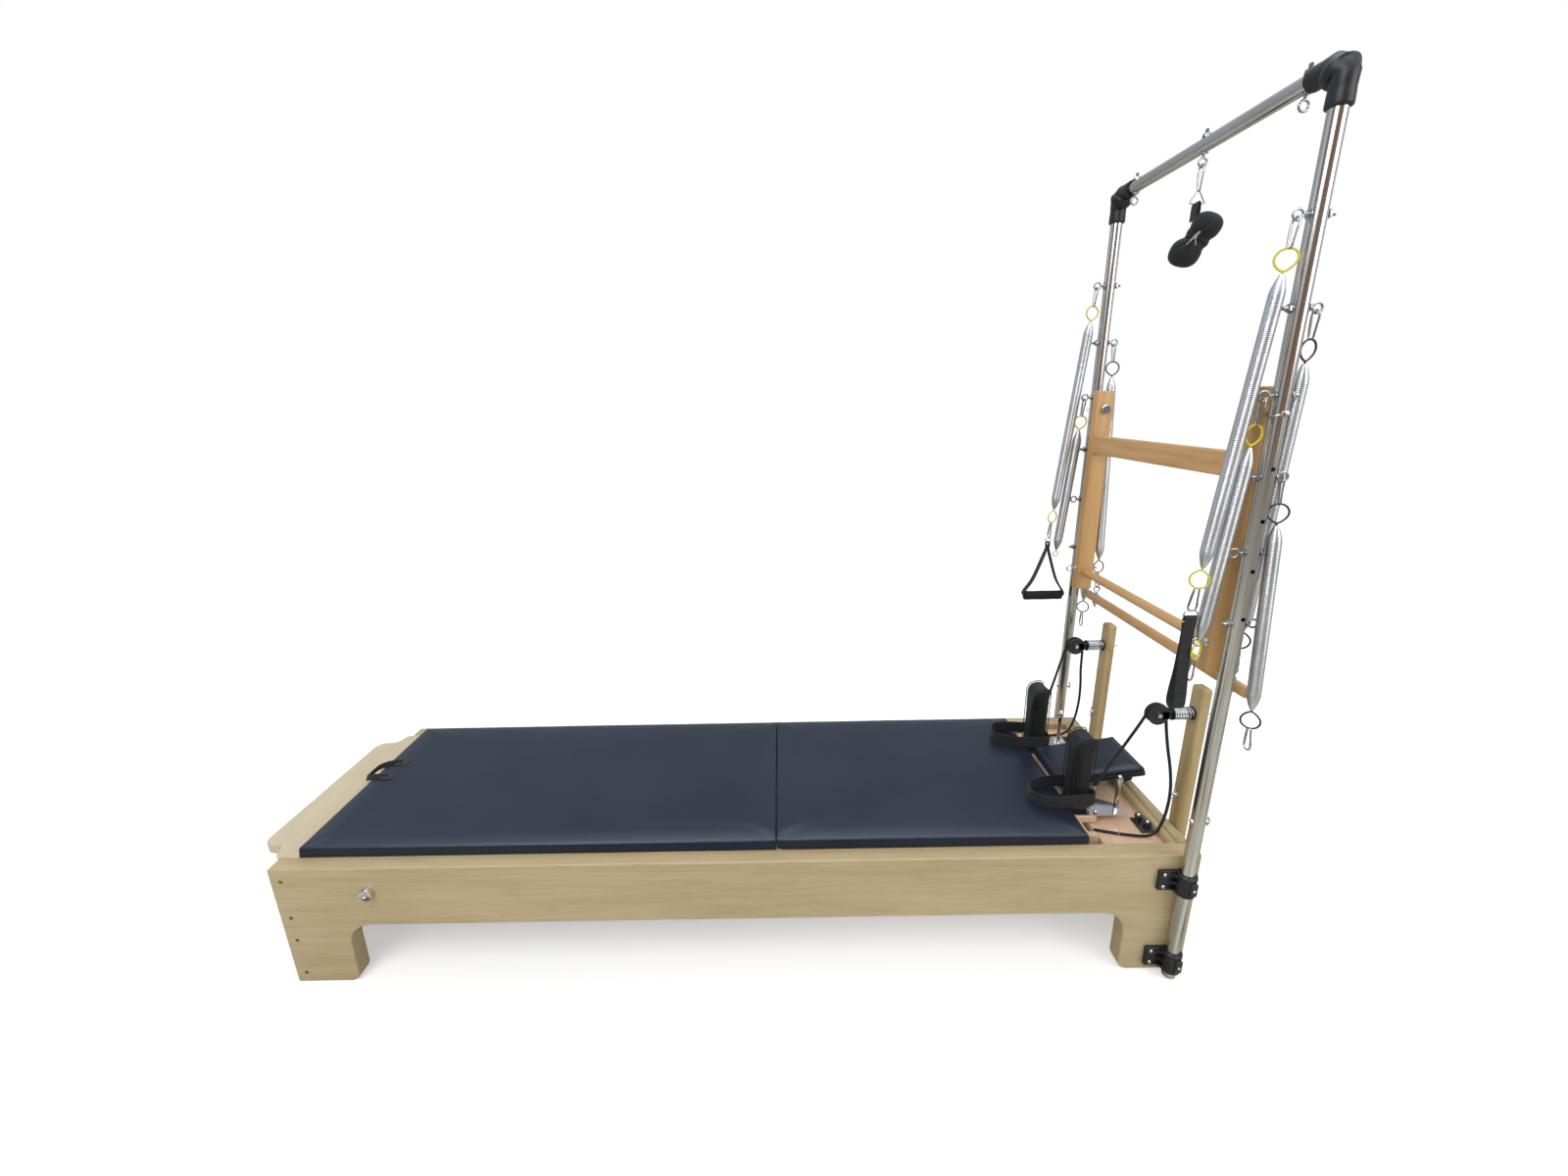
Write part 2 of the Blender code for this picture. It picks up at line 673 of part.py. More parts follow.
def swept(points, radius, sides):
    """A solid round bar along a path."""
    pts = [Vector(p) for p in points]
    bm = bmesh.new()
    rows = []
    across = None
    for i, point in enumerate(pts):
        ahead = (pts[min(i + 1, len(pts) - 1)] - pts[max(i - 1, 0)]).normalized()
        if across is None:
            across = ahead.orthogonal().normalized()
        across = (across - ahead * across.dot(ahead)).normalized()
        other = ahead.cross(across)
        turns = [2 * math.pi * j / sides for j in range(sides)]
        spokes = [radius * (across * math.cos(a) + other * math.sin(a)) for a in turns]
        rows.append([bm.verts.new(point + spoke) for spoke in spokes])
    for lower, upper in zip(rows, rows[1:]):
        for j in range(sides):
            k = (j + 1) % sides
            bm.faces.new((lower[j], lower[k], upper[k], upper[j]))
    bm.faces.new(rows[0])
    bm.faces.new(rows[-1])
    return to_mesh(bm)


def eye_stations():
    """Heights up an upright, and the side on which each eye stands out."""
    return [(EYE_TOP_Z - EYE_PITCH * i, -1 if i % 2 == 0 else 1) for i in range(EYE_COUNT)]


def build_uprights():
    y = -TOWER_HALF_WIDTH
    top = TOP_BAR_Z - ELBOW_RADIUS - ELBOW_LEG + 0.018
    tube = rod((TOWER_X, y, TUBE_FOOT_Z), (TOWER_X, y, top), TUBE_RADIUS, TUBE_SIDES)
    parts = []
    for z, side in eye_stations():
        parts += eye_bolt((TOWER_X + side * TUBE_RADIUS, y, z), (side, 0, 0), TOWER_TUBE)
    bolt_end = -(ARM_OUTER_Y - ARM_THICK) + GAP
    inner = y + TUBE_RADIUS - 0.003
    knob_end = bolt_end + PIVOT_KNOB_THICK
    parts.append(rod((TOWER_X, inner, PIVOT_Z), (TOWER_X, bolt_end + 0.003, PIVOT_Z), PIVOT_BOLT / 2, 10))
    parts.append(rod((TOWER_X, bolt_end, PIVOT_Z), (TOWER_X, knob_end, PIVOT_Z), PIVOT_KNOB_RADIUS, 12))
    solid = union(tube, *parts)
    holes = []
    for i in range(PIVOT_HOLE_COUNT):
        z = PIVOT_Z - PIVOT_HOLE_PITCH * (i + 1)
        holes.append(rod((TOWER_X, y - 0.03, z), (TOWER_X, y + 0.03, z), PIVOT_HOLE / 2, 8))
    upright = cut(solid, *holes)
    add("upright_near", upright, "steel", BODIES["frame"])
    add("upright_far", mirrored(upright), "steel", BODIES["frame"])


def build_top_bar():
    half = TOWER_HALF_WIDTH - ELBOW_RADIUS - ELBOW_LEG + 0.018
    bar = rod((TOWER_X, -half, TOP_BAR_Z), (TOWER_X, half, TOP_BAR_Z), TUBE_RADIUS, TUBE_SIDES)
    parts = []
    for y in (-BAR_EYE_SPACING, 0.0, BAR_EYE_SPACING):
        parts += eye_bolt((TOWER_X, y, TOP_BAR_Z - TUBE_RADIUS), (0, 0, -1), TOWER_TUBE)
    add("top_bar", union(bar, *parts), "steel", BODIES["frame"])


def build_elbows():
    """Moulded corner sleeves that hold the top bar on the uprights."""
    y, z = -TOWER_HALF_WIDTH, TOP_BAR_Z
    bend = ELBOW_RADIUS
    centre = Vector((TOWER_X, y + bend, z - bend))
    points = [Vector((TOWER_X, y, z - bend - ELBOW_LEG))]
    for i in range(5):
        a = math.radians(180 - 90 * i / 4)
        points.append(centre + Vector((0, bend * math.cos(a), bend * math.sin(a))))
    points.append(Vector((TOWER_X, y + bend + ELBOW_LEG, z)))
    sleeve = swept(points, ELBOW_RADIUS, 12)
    seat = TUBE_RADIUS + BORE_CLEARANCE
    socket = 0.0185
    reach = bend + ELBOW_LEG
    low = rod((TOWER_X, y, z - reach - 0.02), (TOWER_X, y, z - reach + socket), seat, TUBE_SIDES)
    side = rod((TOWER_X, y + reach - socket, z), (TOWER_X, y + reach + 0.02, z), seat, TUBE_SIDES)
    elbow = cut(sleeve, low, side)
    add("elbow_near", elbow, "black_plastic", BODIES["frame"])
    add("elbow_far", mirrored(elbow), "black_plastic", BODIES["frame"])


def build_clamps():
    """Pipe clamps: a ring round the upright and a bolted foot on the rail's face."""
    y = -TOWER_HALF_WIDTH
    face = -FRAME_WIDTH / 2 - GAP
    for level, z in (("upper", UPPER_CLAMP_Z), ("lower", LOWER_CLAMP_Z)):
        low, high = z - CLAMP_HEIGHT / 2, z + CLAMP_HEIGHT / 2
        body = rod((TOWER_X, y, low), (TOWER_X, y, high), CLAMP_RING_RADIUS, TUBE_SIDES)
        flank = box((TOWER_X - CLAMP_RING_RADIUS, y, low + 0.0005),
                    (TOWER_X + CLAMP_RING_RADIUS, face, high - 0.0005))
        foot = box((TOWER_X - CLAMP_PLATE_REACH, face - CLAMP_PLATE_THICK, low + 0.001),
                   (TOWER_X - CLAMP_RING_RADIUS + 0.004, face, high - 0.001))
        bolts = []
        for step in (-1, 1):
            seat = Vector((TOWER_X - CLAMP_PLATE_REACH + 0.014, face - CLAMP_PLATE_THICK + 0.001,
                           z + step * 0.018))
            bolts.append(rod(seat, seat + Vector((0, -0.0055, 0)), 0.0055, 6))
        block = union(body, flank, foot, *bolts)
        bore = rod((TOWER_X, y, low - 0.01), (TOWER_X, y, high + 0.01), TUBE_RADIUS + BORE_CLEARANCE,
                   TUBE_SIDES)
        rail = box((TOWER_X - 0.1, face, low - 0.01), (TOWER_X + 0.1, face + 0.05, high + 0.01))
        clamp = cut(block, bore, rail)
        add("clamp_%s_near" % level, clamp, "black_plastic", BODIES["frame"])
        add("clamp_%s_far" % level, mirrored(clamp), "black_plastic", BODIES["frame"])


def build_push_frame():
    """A wooden frame that swings between the uprights on two pivot bolts."""
    body = BODIES["push_frame"]
    low_x, high_x = TOWER_X - ARM_WIDTH / 2, TOWER_X + ARM_WIDTH / 2
    inner = ARM_OUTER_Y - ARM_THICK
    arm = box((low_x, -ARM_OUTER_Y, ARM_BOTTOM_Z), (high_x, -inner, PIVOT_Z + ARM_ABOVE_PIVOT), WOOD_ROUND)
    bore = rod((TOWER_X, -ARM_OUTER_Y - 0.01, PIVOT_Z), (TOWER_X, -inner + 0.01, PIVOT_Z),
               PIVOT_BOLT / 2 + BORE_CLEARANCE, 10)
    middle = -(ARM_OUTER_Y - ARM_THICK / 2)
    eye = eye_bolt((low_x, middle, ARM_EYE_Z), (-1, 0, 0), ARM_WIDTH)
    arm = union(cut(arm, bore), *eye)
    add("push_arm_near", arm, "maple", body)
    add("push_arm_far", mirrored(arm), "maple", body)
    half = inner - GAP
    bar = box((low_x, -half, CROSSBAR_Z - CROSSBAR_HEIGHT / 2),
              (low_x + CROSSBAR_THICK, half, CROSSBAR_Z + CROSSBAR_HEIGHT / 2), WOOD_ROUND)
    add("push_crossbar", bar, "maple", body)
    dowel = rod((TOWER_X, -half, DOWEL_Z), (TOWER_X, half, DOWEL_Z), DOWEL_DIAMETER / 2, 16)
    add("push_dowel", dowel, "maple", body)


def hook_points(length=HOOK_LENGTH):
    """A wire hook in the YZ plane, from its free end up over the eye and down to the axis."""
    wide = HOOK_HALF_WIDTH
    top = HOOK_TOP
    bottom = -(length - 0.005)
    points = [(-wide, min(bottom + 0.030, top - wide - 0.002))]
    points += [(wide * math.cos(math.radians(a)), top - wide + wide * math.sin(math.radians(a)))
               for a in (180, 135, 90, 45, 0)]
    points += [(wide, min(bottom + 0.018, top - wide - 0.001)), (0.0, -length + 0.004)]
    return [Vector((0.0, y, z)) for y, z in points]


def spring_points(coil_length, curls, crossed=False, low_hook=HOOK_LENGTH):
    """Hook, tapered coil and lower hook of one tower spring, hung from its eye's centre.

    A crossed spring has its lower hook in the XZ plane.
    """
    radius = (SPRING_OUTER - SPRING_WIRE) / 2
    points = hook_points()
    count = curls * CURL_POINTS
    for i in range(count + 1):
        share = i / count
        taper = min(1.0, share * curls / 0.75, (1 - share) * curls / 0.75)
        reach = radius * (0.12 + 0.88 * taper)
        a = 2 * math.pi * i / CURL_POINTS
        points.append(Vector((reach * math.cos(a), reach * math.sin(a), -HOOK_LENGTH - coil_length * share)))
    total = HOOK_LENGTH + coil_length + low_hook
    lower = [Vector((0.0, -p.y, -total - p.z)) for p in reversed(hook_points(low_hook))]
    if crossed:
        lower = [Vector((p.y, 0.0, p.z)) for p in lower]
    return points + lower


def least_self_gap(points, diameter, apart):
    """Smallest clear distance between stretches of a tube that are apart along it."""
    best = math.inf
    for i, a in enumerate(points):
        for b in points[i + apart:]:
            best = min(best, (a - b).length)
    return best - diameter


def eye_centre(side, station):
    z, out = eye_stations()[station]
    return Vector((TOWER_X + out * EYE_REACH, side * TOWER_HALF_WIDTH, z))


def lean(dx, dy):
    """Turn that lets a hanging spring lean by these slopes along X and Y."""
    return Vector((0, 0, -1)).rotation_difference(Vector((dx, dy, -1))).to_matrix()


def build_tower_springs():
    long_shape = spring_points(LONG_COIL, LONG_CURLS)
    short_shape = spring_points(SHORT_COIL, SHORT_CURLS)
    plans = (("arm", 0, long_shape, (-INNER_LEAN, 0.0)), ("roll", 1, long_shape, (0.022, -ROLL_SPRING_LEAN)),
             ("leg", 2, short_shape, (-LEG_LEAN, 0.0)), ("tower", 3, short_shape, (0.030, OUTER_LEAN)))
    for kind, station, shape, (dx, dy) in plans:
        for side_name, side in SIDES.items():
            hang = eye_centre(side, station)
            turn = lean(dx, dy * side)
            used = shape
            if (kind, side_name) == ("arm", "near"):
                used = spring_points(LONG_COIL, LONG_CURLS, crossed=True)
            if (kind, side_name) == ("leg", "far"):
                used = spring_points(CLIPPED_COIL, SHORT_CURLS, low_hook=CLIPPED_HOOK)
            points = [hang + turn @ Vector((p.x, p.y * side, p.z)) for p in used]
            name = "%s_spring_%s" % (kind, side_name)
            body = BODIES["roll_down"] if kind == "roll" else BODIES[name]
            tube_curve(name, points, SPRING_WIRE, "spring_steel", body, 1)
    for label, shape in (("long", long_shape), ("short", short_shape)):
        print("least gap in the %s spring, mm: %.2f" % (label, 1000 * least_self_gap(shape, SPRING_WIRE, 5)))


def roll_spring_end(side):
    total = 2 * HOOK_LENGTH + LONG_COIL
    return eye_centre(side, 1) + lean(0.022, -ROLL_SPRING_LEAN * side) @ Vector((0, 0, -total))


def build_roll_down_bar():
    """A wooden bar that hangs from two springs by an eye near each end."""
    near, far = roll_spring_end(-1), roll_spring_end(1)
    radius = ROLL_BAR_DIAMETER / 2
    seat_z = near.z - (EYE_REACH - TUBE_RADIUS)
    half = ROLL_BAR_LENGTH / 2
    bar = revolve([(radius - 0.002, -half), (radius, -half + 0.002), (radius, half - 0.002),
                   (radius - 0.002, half)], 12)
    bar = moved(bar, (near.x, 0, seat_z - radius), turn_to((0, 1, 0)))
    parts = []
    for end in (near, far):
        parts += eye_bolt((end.x, end.y, seat_z), (0, 0, 1), ROLL_BAR_DIAMETER)
    add("roll_down_bar", union(bar, *parts), "maple", BODIES["roll_down"])


def arm_spring_end(side):
    total = 2 * HOOK_LENGTH + LONG_COIL
    return eye_centre(side, 0) + lean(-INNER_LEAN, 0.0) @ Vector((0, 0, -total - HOOK_TOP))


def build_arm_strap():
    """A doubled strap of webbing that hangs in the near arm spring's lower hook."""
    top = arm_spring_end(-1)
    start = top + Vector((0, 0, SPRING_WIRE / 2 + WEBBING_THICK / 2 + 0.0024))
    half, low = 0.006, 0.006 - ARM_STRAP_LENGTH
    upper = arc((0.0, -half), half, 0, 180, 4)
    lower = arc((0.0, low), half, 180, 360, 4)
    outline = [*upper, (-half, -0.035), *lower, (half, -0.035)]
    pinch = [0.45, 0.30, 0.25, 0.30, 0.45] + [1.0] * 7
    path = [start + Vector((0, y, z)) for y, z in outline]
    strap = band(path, (1, 0, 0), ARM_STRAP_WIDTH, WEBBING_THICK, pinch=pinch)
    add("arm_strap", strap, "webbing", BODIES["arm_spring_near"])


def build_handle():
    """A hand loop: a triangle of webbing with a foam grip along its foot."""
    top = arm_spring_end(1) + Vector((0, 0, SPRING_WIRE / 2 + WEBBING_THICK / 2 + 0.0024))
    half = HANDLE_WIDTH / 2
    low = -HANDLE_DROP
    corner = 0.012
    side_path = [(0.004, -0.0004), (0.009, -0.010), (0.016, -0.070), (half, low + corner),
                 (half - 0.004, low + 0.002), (half - corner, low)]
    outline = side_path + [(-x, z) for x, z in reversed(side_path)]
    shares = [0.30, 0.40, 1.0, 1.0, 1.0, 1.0]
    path = [top + Vector((x, 0, z)) for x, z in outline]
    web = band(path, (0, 1, 0), HANDLE_WEB_WIDTH, WEBBING_THICK, pinch=shares + shares[::-1])
    grip_half = half - corner - 0.004
    centre = top + Vector((0, 0, low))
    grip = revolve([(0.0, -grip_half), (HANDLE_GRIP_RADIUS - 0.003, -grip_half),
                    (HANDLE_GRIP_RADIUS, -grip_half + 0.004), (HANDLE_GRIP_RADIUS, grip_half - 0.004),
                    (HANDLE_GRIP_RADIUS - 0.003, grip_half), (0.0, grip_half)], 14)
    grip = moved(grip, centre, turn_to((1, 0, 0)))
    add("hand_loop", union(web, grip), "foam", BODIES["arm_spring_far"])


def build_cuff():
    """A padded ankle cuff, rolled up and tied, on a snap hook under the top bar."""
    eye = Vector((TOWER_X, 0.0, TOP_BAR_Z - EYE_REACH))
    hook_low = -0.085
    hook = swept([eye + p for p in hook_points()[:-1]] + [eye + Vector((0, 0, hook_low))], 0.002, 6)
    lobes = []
    for x, z, radius in ((0.012, -0.115, 0.018), (0.036, -0.140, CUFF_ROLL_RADIUS),
                         (-0.010, -0.192, CUFF_ROLL_RADIUS), (0.014, -0.165, 0.020)):
        roll = revolve([(radius * 0.8, -CUFF_WIDTH / 2), (radius, -CUFF_WIDTH / 2 + 0.008),
                        (radius, CUFF_WIDTH / 2 - 0.008), (radius * 0.8, CUFF_WIDTH / 2)], 8)
        lobes.append(moved(roll, eye + Vector((x, 0.0, z)), turn_to((0, 1, 0))))
    strap = box(eye + Vector((-0.004, -0.012, -0.12)), eye + Vector((0.004, 0.012, -0.078)))
    add("ankle_cuff", union(lobes[1], lobes[0], lobes[3], lobes[2], strap, hook), "webbing", BODIES["cuff"])


def build_risers():
    """Wooden posts on the head end, each with a wing knob and a bore for its pulley bolt."""
    y = -RISER_Y
    half = RISER_WIDTH / 2
    post = box((RISER_X, y - half, RISER_BOTTOM_Z), (RISER_X + RISER_DEPTH, y + half, RISER_TOP_Z),
               RISER_ROUND, 2)
    flat = box((RISER_X - 0.001, y - 0.1, RISER_BOTTOM_Z - 0.1),
               (RISER_X + 0.1, y + 0.1, RISER_BOTTOM_Z + 0.006))
    bore = rod((RISER_X - 0.01, y, PULLEY_Z), (RISER_X + RISER_DEPTH + 0.01, y, PULLEY_Z),
               AXLE_RADIUS + BORE_CLEARANCE, 10)
    post = cut(post, flat, bore)
    profile = [(0.0, -0.004), (0.006, -0.004), (0.006, 0.006), (0.010, 0.008), (0.010, 0.014), (0.0, 0.015)]
    knob = moved(revolve(profile, 10), (RISER_X, y, RISER_KNOB_Z), turn_to((-1, 0, 0)))
    wings = box((RISER_X - 0.013, y - 0.004, RISER_KNOB_Z - 0.017),
                (RISER_X - 0.008, y + 0.004, RISER_KNOB_Z + 0.017))
    riser = union(post, knob, wings)
    add("riser_near", riser, "maple", BODIES["frame"])
    add("riser_far", mirrored(riser), "maple", BODIES["frame"])


def build_pulleys():
    """Each pulley hangs on a long bolt through its riser, cushioned by a coil spring."""
    y, z = -RISER_Y, PULLEY_Z
    gap = SHEAVE_WIDTH / 2 + 0.0008
    axis = turn_to((0, 1, 0))
    back = PULLEY_BACK
    cheeks = []
    for side in (-1, 1):
        start, end = sorted((y + side * gap, y + side * (gap + CHEEK_THICK)))
        disc = rod((PULLEY_X, start, z), (PULLEY_X, end, z), CHEEK_RADIUS, 12)
        ear = box((PULLEY_X, start, z - 0.012), (back, end, z + 0.012))
        cheeks += [disc, ear]
    wide = gap + CHEEK_THICK
    bridge = box((back - 0.0035, y - wide, z - 0.0118), (back + 0.003, y + wide, z + 0.0118))
    axle = rod((PULLEY_X, y - wide - 0.002, z), (PULLEY_X, y + wide + 0.002, z), AXLE_RADIUS, 8)
    shaft = rod((back, y, z), (RISER_X + RISER_DEPTH + NUT_THICK, y, z), AXLE_RADIUS, 8)
    washer = rod((back + 0.001, y, z), (back + 0.005, y, z), CUSHION_SPRING_OUTER / 2 + 0.001, 10)
    end_nut = nut((RISER_X + RISER_DEPTH + GAP + NUT_THICK / 2, y, z), (1, 0, 0))
    block = union(bridge, *cheeks, axle, shaft, washer, end_nut)
    add("pulley_block_near", block, "black_metal", BODIES["frame"])
    add("pulley_block_far", mirrored(block), "black_metal", BODIES["frame"])

    half = SHEAVE_WIDTH / 2
    bore = AXLE_RADIUS + BORE_CLEARANCE
    profile = [(bore, -half), (SHEAVE_RADIUS, -half), (SHEAVE_RADIUS, -half + 0.001),
               (SHEAVE_GROOVE, -0.0022), (SHEAVE_GROOVE, 0.0022), (SHEAVE_RADIUS, half - 0.001),
               (SHEAVE_RADIUS, half), (bore, half)]
    for side_name, side in SIDES.items():
        wheel = moved(revolve(profile, 12, closed=True), (PULLEY_X, side * RISER_Y, z), axis)
        add("sheave_" + side_name, wheel, "black_plastic", BODIES["sheave_" + side_name])

    start = back + 0.005 + GAP + CUSHION_SPRING_WIRE / 2
    end = RISER_X - GAP - CUSHION_SPRING_WIRE / 2
    radius = (CUSHION_SPRING_OUTER - CUSHION_SPRING_WIRE) / 2
    count = CUSHION_CURLS * CURL_POINTS
    for side_name, side in SIDES.items():
        points = []
        for i in range(count + 1):
            a = 2 * math.pi * i / CURL_POINTS
            x = start + (end - start) * i / count
            points.append(Vector((x, side * (RISER_Y + radius * math.cos(a)), z + radius * math.sin(a))))
        name = "pulley_spring_" + side_name
        tube_curve(name, points, CUSHION_SPRING_WIRE, "spring_steel", BODIES["frame"], 1)
    print("least gap in a pulley spring, mm: %.2f" % (1000 * least_self_gap(points, CUSHION_SPRING_WIRE, 5)))


def build_cleats():
    """Cam cleats on the deck: a base plate with two rounded cams on screws."""
    z = DECK_TOP + GAP
    x, y = CLEAT_X, -CLEAT_Y
    base = box((x - 0.018, y - 0.030, z), (x + 0.016, y + 0.030, z + 0.005), 0.001, 1)
    cams = []
    for dx, dy in ((-0.004, 0.016), (0.004, -0.014)):
        cam = revolve([(0.0, 0.0), (CAM_RADIUS, 0.0), (CAM_RADIUS, CAM_HEIGHT - 0.004),
                       (CAM_RADIUS - 0.004, CAM_HEIGHT), (0.0, CAM_HEIGHT)], 10)
        cams.append(moved(cam, (x + dx, y + dy, z + 0.004)))
        screw = Vector((x + dx, y + dy, z + CAM_HEIGHT + 0.002))
        cams.append(rod(screw, screw + Vector((0, 0, 0.0045)), 0.004, 6))
    cleat = union(base, *cams)
    add("cleat_near", cleat, "black_plastic", BODIES["frame"])
    add("cleat_far", mirrored(cleat), "black_plastic", BODIES["frame"])


def rope_points(side):
    """A rope: its tail on the deck, round the cleat, up, over the sheave, down to the strap."""
    lie = DECK_TOP + ROPE_DIAMETER / 2 + GAP
    over = [Vector((PULLEY_X + u, -RISER_Y, PULLEY_Z + v)) for u, v in arc((0, 0), ROPE_REACH, -8, 160, 7)]
    rising = [(0.985, -0.232, lie), (1.010, -0.240, lie), (1.040, -0.249, lie), (1.075, -0.257, lie),
              (1.108, -0.262, lie + 0.001), (1.132, -0.263, lie + 0.009), (1.147, -0.262, 0.388),
              (1.156, -0.260, 0.430), (1.159, -0.257, 0.485), (1.154, -0.250, 0.545), (1.143, -0.240, 0.610),
              (1.1365, -0.231, 0.665), over[0]]
    falling = [over[-1], (1.073, -0.226, 0.675), (1.048, -0.212, 0.600), (1.026, -0.199, 0.535),
               (1.011, -0.186, 0.480), (1.0050, -0.172, 0.4475)]
    spacing = 2.9 * ROPE_DIAMETER
    points = smooth_route(rising, spacing)[:-1] + over + smooth_route(falling, spacing)[1:]
    return [Vector((p[0], -p[1] * side, p[2])) for p in points]


def build_ropes():
    for side_name, side in SIDES.items():
        points = rope_points(side)
        tube_curve("rope_" + side_name, points, ROPE_DIAMETER, "rope", BODIES["frame"], 2)
        length = sum((b - a).length for a, b in zip(points, points[1:]))
    print("rope length, m: %.3f" % length)


def build_carriage():
    body = BODIES["carriage"]
    wide = INNER_Y - 0.006
    head = PLATFORM_HEAD_X
    tongue = PAD_HEAD_X + PLATFORM_TONGUE
    low = PLATFORM_TOP - PLATFORM_THICK
    half = TONGUE_HALF_WIDTH
    outline = [(SEAM_X + 0.012, -wide), (head, -wide), (head, -half), (tongue, -half),
               (tongue, half), (head, half), (head, wide), (SEAM_X + 0.012, wide)]
    board = prism(outline, "Z", low, PLATFORM_TOP, 0.0)
    beam_end = DECK_START - 0.004
    beams = []
    for side in (-1, 1):
        y0, y1 = sorted((side * (BEAM_Y - BEAM_THICK / 2), side * (BEAM_Y + BEAM_THICK / 2)))
        beams.append(box((SEAM_X + 0.03, y0, low - BEAM_HEIGHT), (beam_end, y1, low + 0.002)))
    for x in (SEAM_X + 0.05, beam_end - 0.05):
        beams.append(box((x, -BEAM_Y, low - 0.034), (x + 0.03, BEAM_Y, low + 0.002)))
    axles = []
    for x in wheel_places():
        for side in (-1, 1):
            inner = side * (BEAM_Y + BEAM_THICK / 2 - 0.004)
            outer = side * (BEAM_Y + BEAM_THICK / 2 + 0.0006 + WHEEL_WIDTH + 0.0015)
            axles.append(rod((x, inner, WHEEL_Z), (x, outer, WHEEL_Z), AXLE_RADIUS, 10))
    pivot = headrest_pivot()
    hinge = box((pivot.x + 0.001, -HINGE_HALF_WIDTH, PLATFORM_TOP - 0.002),
                (pivot.x + HINGE_DEPTH, HINGE_HALF_WIDTH, pivot.z - GAP))
    add("carriage_frame", union(board, hinge, *beams, *axles), "plywood", body)

    bore = AXLE_RADIUS + BORE_CLEARANCE
    tread, half = WHEEL_RADIUS, WHEEL_WIDTH / 2
    profile = [(bore, -half), (tread - 0.002, -half), (tread, -half + 0.002), (tread, half - 0.002),
               (tread - 0.002, half), (bore, half)]
    for label, x in zip(("foot", "head"), wheel_places()):
        for side_name, side in SIDES.items():
            y = side * (BEAM_Y + BEAM_THICK / 2 + 0.0006 + half)
            wheel = moved(revolve(profile, 12, closed=True), (x, y, WHEEL_Z), turn_to((0, 1, 0)))
            name = "wheel_%s_%s" % (label, side_name)
            add(name, wheel, "wheel_rubber", BODIES[name])

    pad = cushion((SEAM_X + 0.0005, -PAD_HALF_WIDTH, PLATFORM_TOP + GAP),
                  (PAD_HEAD_X, PAD_HALF_WIDTH, PAD_TOP + 0.001), PAD_CROWN, PAD_EDGE_ROUND)
    add("carriage_pad", pad, "vinyl", body)


WHEEL_Z = TRACK_TOP + GAP + WHEEL_RADIUS
DECK_START = BATTEN_X - GAP - DECK_LENGTH


def wheel_places():
    middle = (SEAM_X + PAD_HEAD_X) / 2
    return (middle - WHEEL_BASE / 2, middle + WHEEL_BASE / 2)


def build_carriage_springs():
    """The carriage's own springs, unhooked at the foot end and parked under the platform."""
    low = PLATFORM_TOP - PLATFORM_THICK - 0.034
    z = low - GAP - 0.012
    start, end = SEAM_X + 0.055, DECK_START - 0.090
    parts = []
    for i in range(4):
        y = (i - 1.5) * 0.09
        coil = revolve([(0.012, 0.0), (0.012, end - start)], 8)
        parts.append(moved(coil, (start, y, z), turn_to((1, 0, 0))))
    bar = rod((end - 0.0103, -0.165, z + 0.0004), (end - 0.0103, 0.165, z + 0.0004), 0.005, 7)
    add("carriage_springs", union(bar, *parts), "spring_steel", BODIES["carriage"])


def build_shoulder_rests():
    body = BODIES["carriage"]
    top, bend = SHOULDER_TOP, SHOULDER_ROUND
    low_x, high_x = SHOULDER_X, SHOULDER_X + SHOULDER_DEPTH
    low_z = PLATFORM_TOP + PLATE_THICK + 2 * GAP
    outline = [(low_x, low_z), (high_x, low_z)]
    outline += arc((high_x - 0.012, top - 0.012), 0.012, 0, 90, 3)
    outline += arc((low_x + bend, top - bend), bend, 90, 180, 5)
    inner, outer = SHOULDER_INNER_Y, SHOULDER_INNER_Y + SHOULDER_WIDTH
    block = prism(outline, "Y", -outer, -inner, 0.007, 1, 35)
    add("shoulder_rest_near", block, "vinyl", body)
    add("shoulder_rest_far", mirrored(block), "vinyl", body)

    plate_low = PLATFORM_TOP + GAP
    outline = [(SHOULDER_X - 0.001, -POST_Y - 0.016), (PLATE_END_X, -POST_Y - 0.016),
               (PLATE_END_X, -POST_Y + 0.026), (high_x + 0.01, -inner + 0.002),
               (SHOULDER_X - 0.001, -inner + 0.002)]
    plate = prism(outline, "Z", plate_low, plate_low + PLATE_THICK, 0.0)
    tall = POST_TOP - plate_low
    post = revolve([(0.0, 0.0), (POST_RADIUS, 0.0), (POST_RADIUS, tall - POST_BALL - 0.004),
                    (POST_BALL, tall - POST_BALL), (POST_BALL, tall - 0.002),
                    (POST_BALL * 0.6, tall + POST_BALL * 0.6), (0.0, tall + POST_BALL)], 10)
    post = moved(post, (POST_X, -POST_Y, plate_low + 0.002))
    bolt = moved(revolve([(0.0, 0.0), (0.006, 0.0), (0.006, 0.005), (0.0, 0.007)], 8),
                 (high_x + 0.012, -POST_Y - 0.006, plate_low + PLATE_THICK - 0.001))
    stand = union(plate, post, bolt)
    add("strap_post_near", stand, "chrome", body)
    add("strap_post_far", mirrored(stand), "chrome", body)


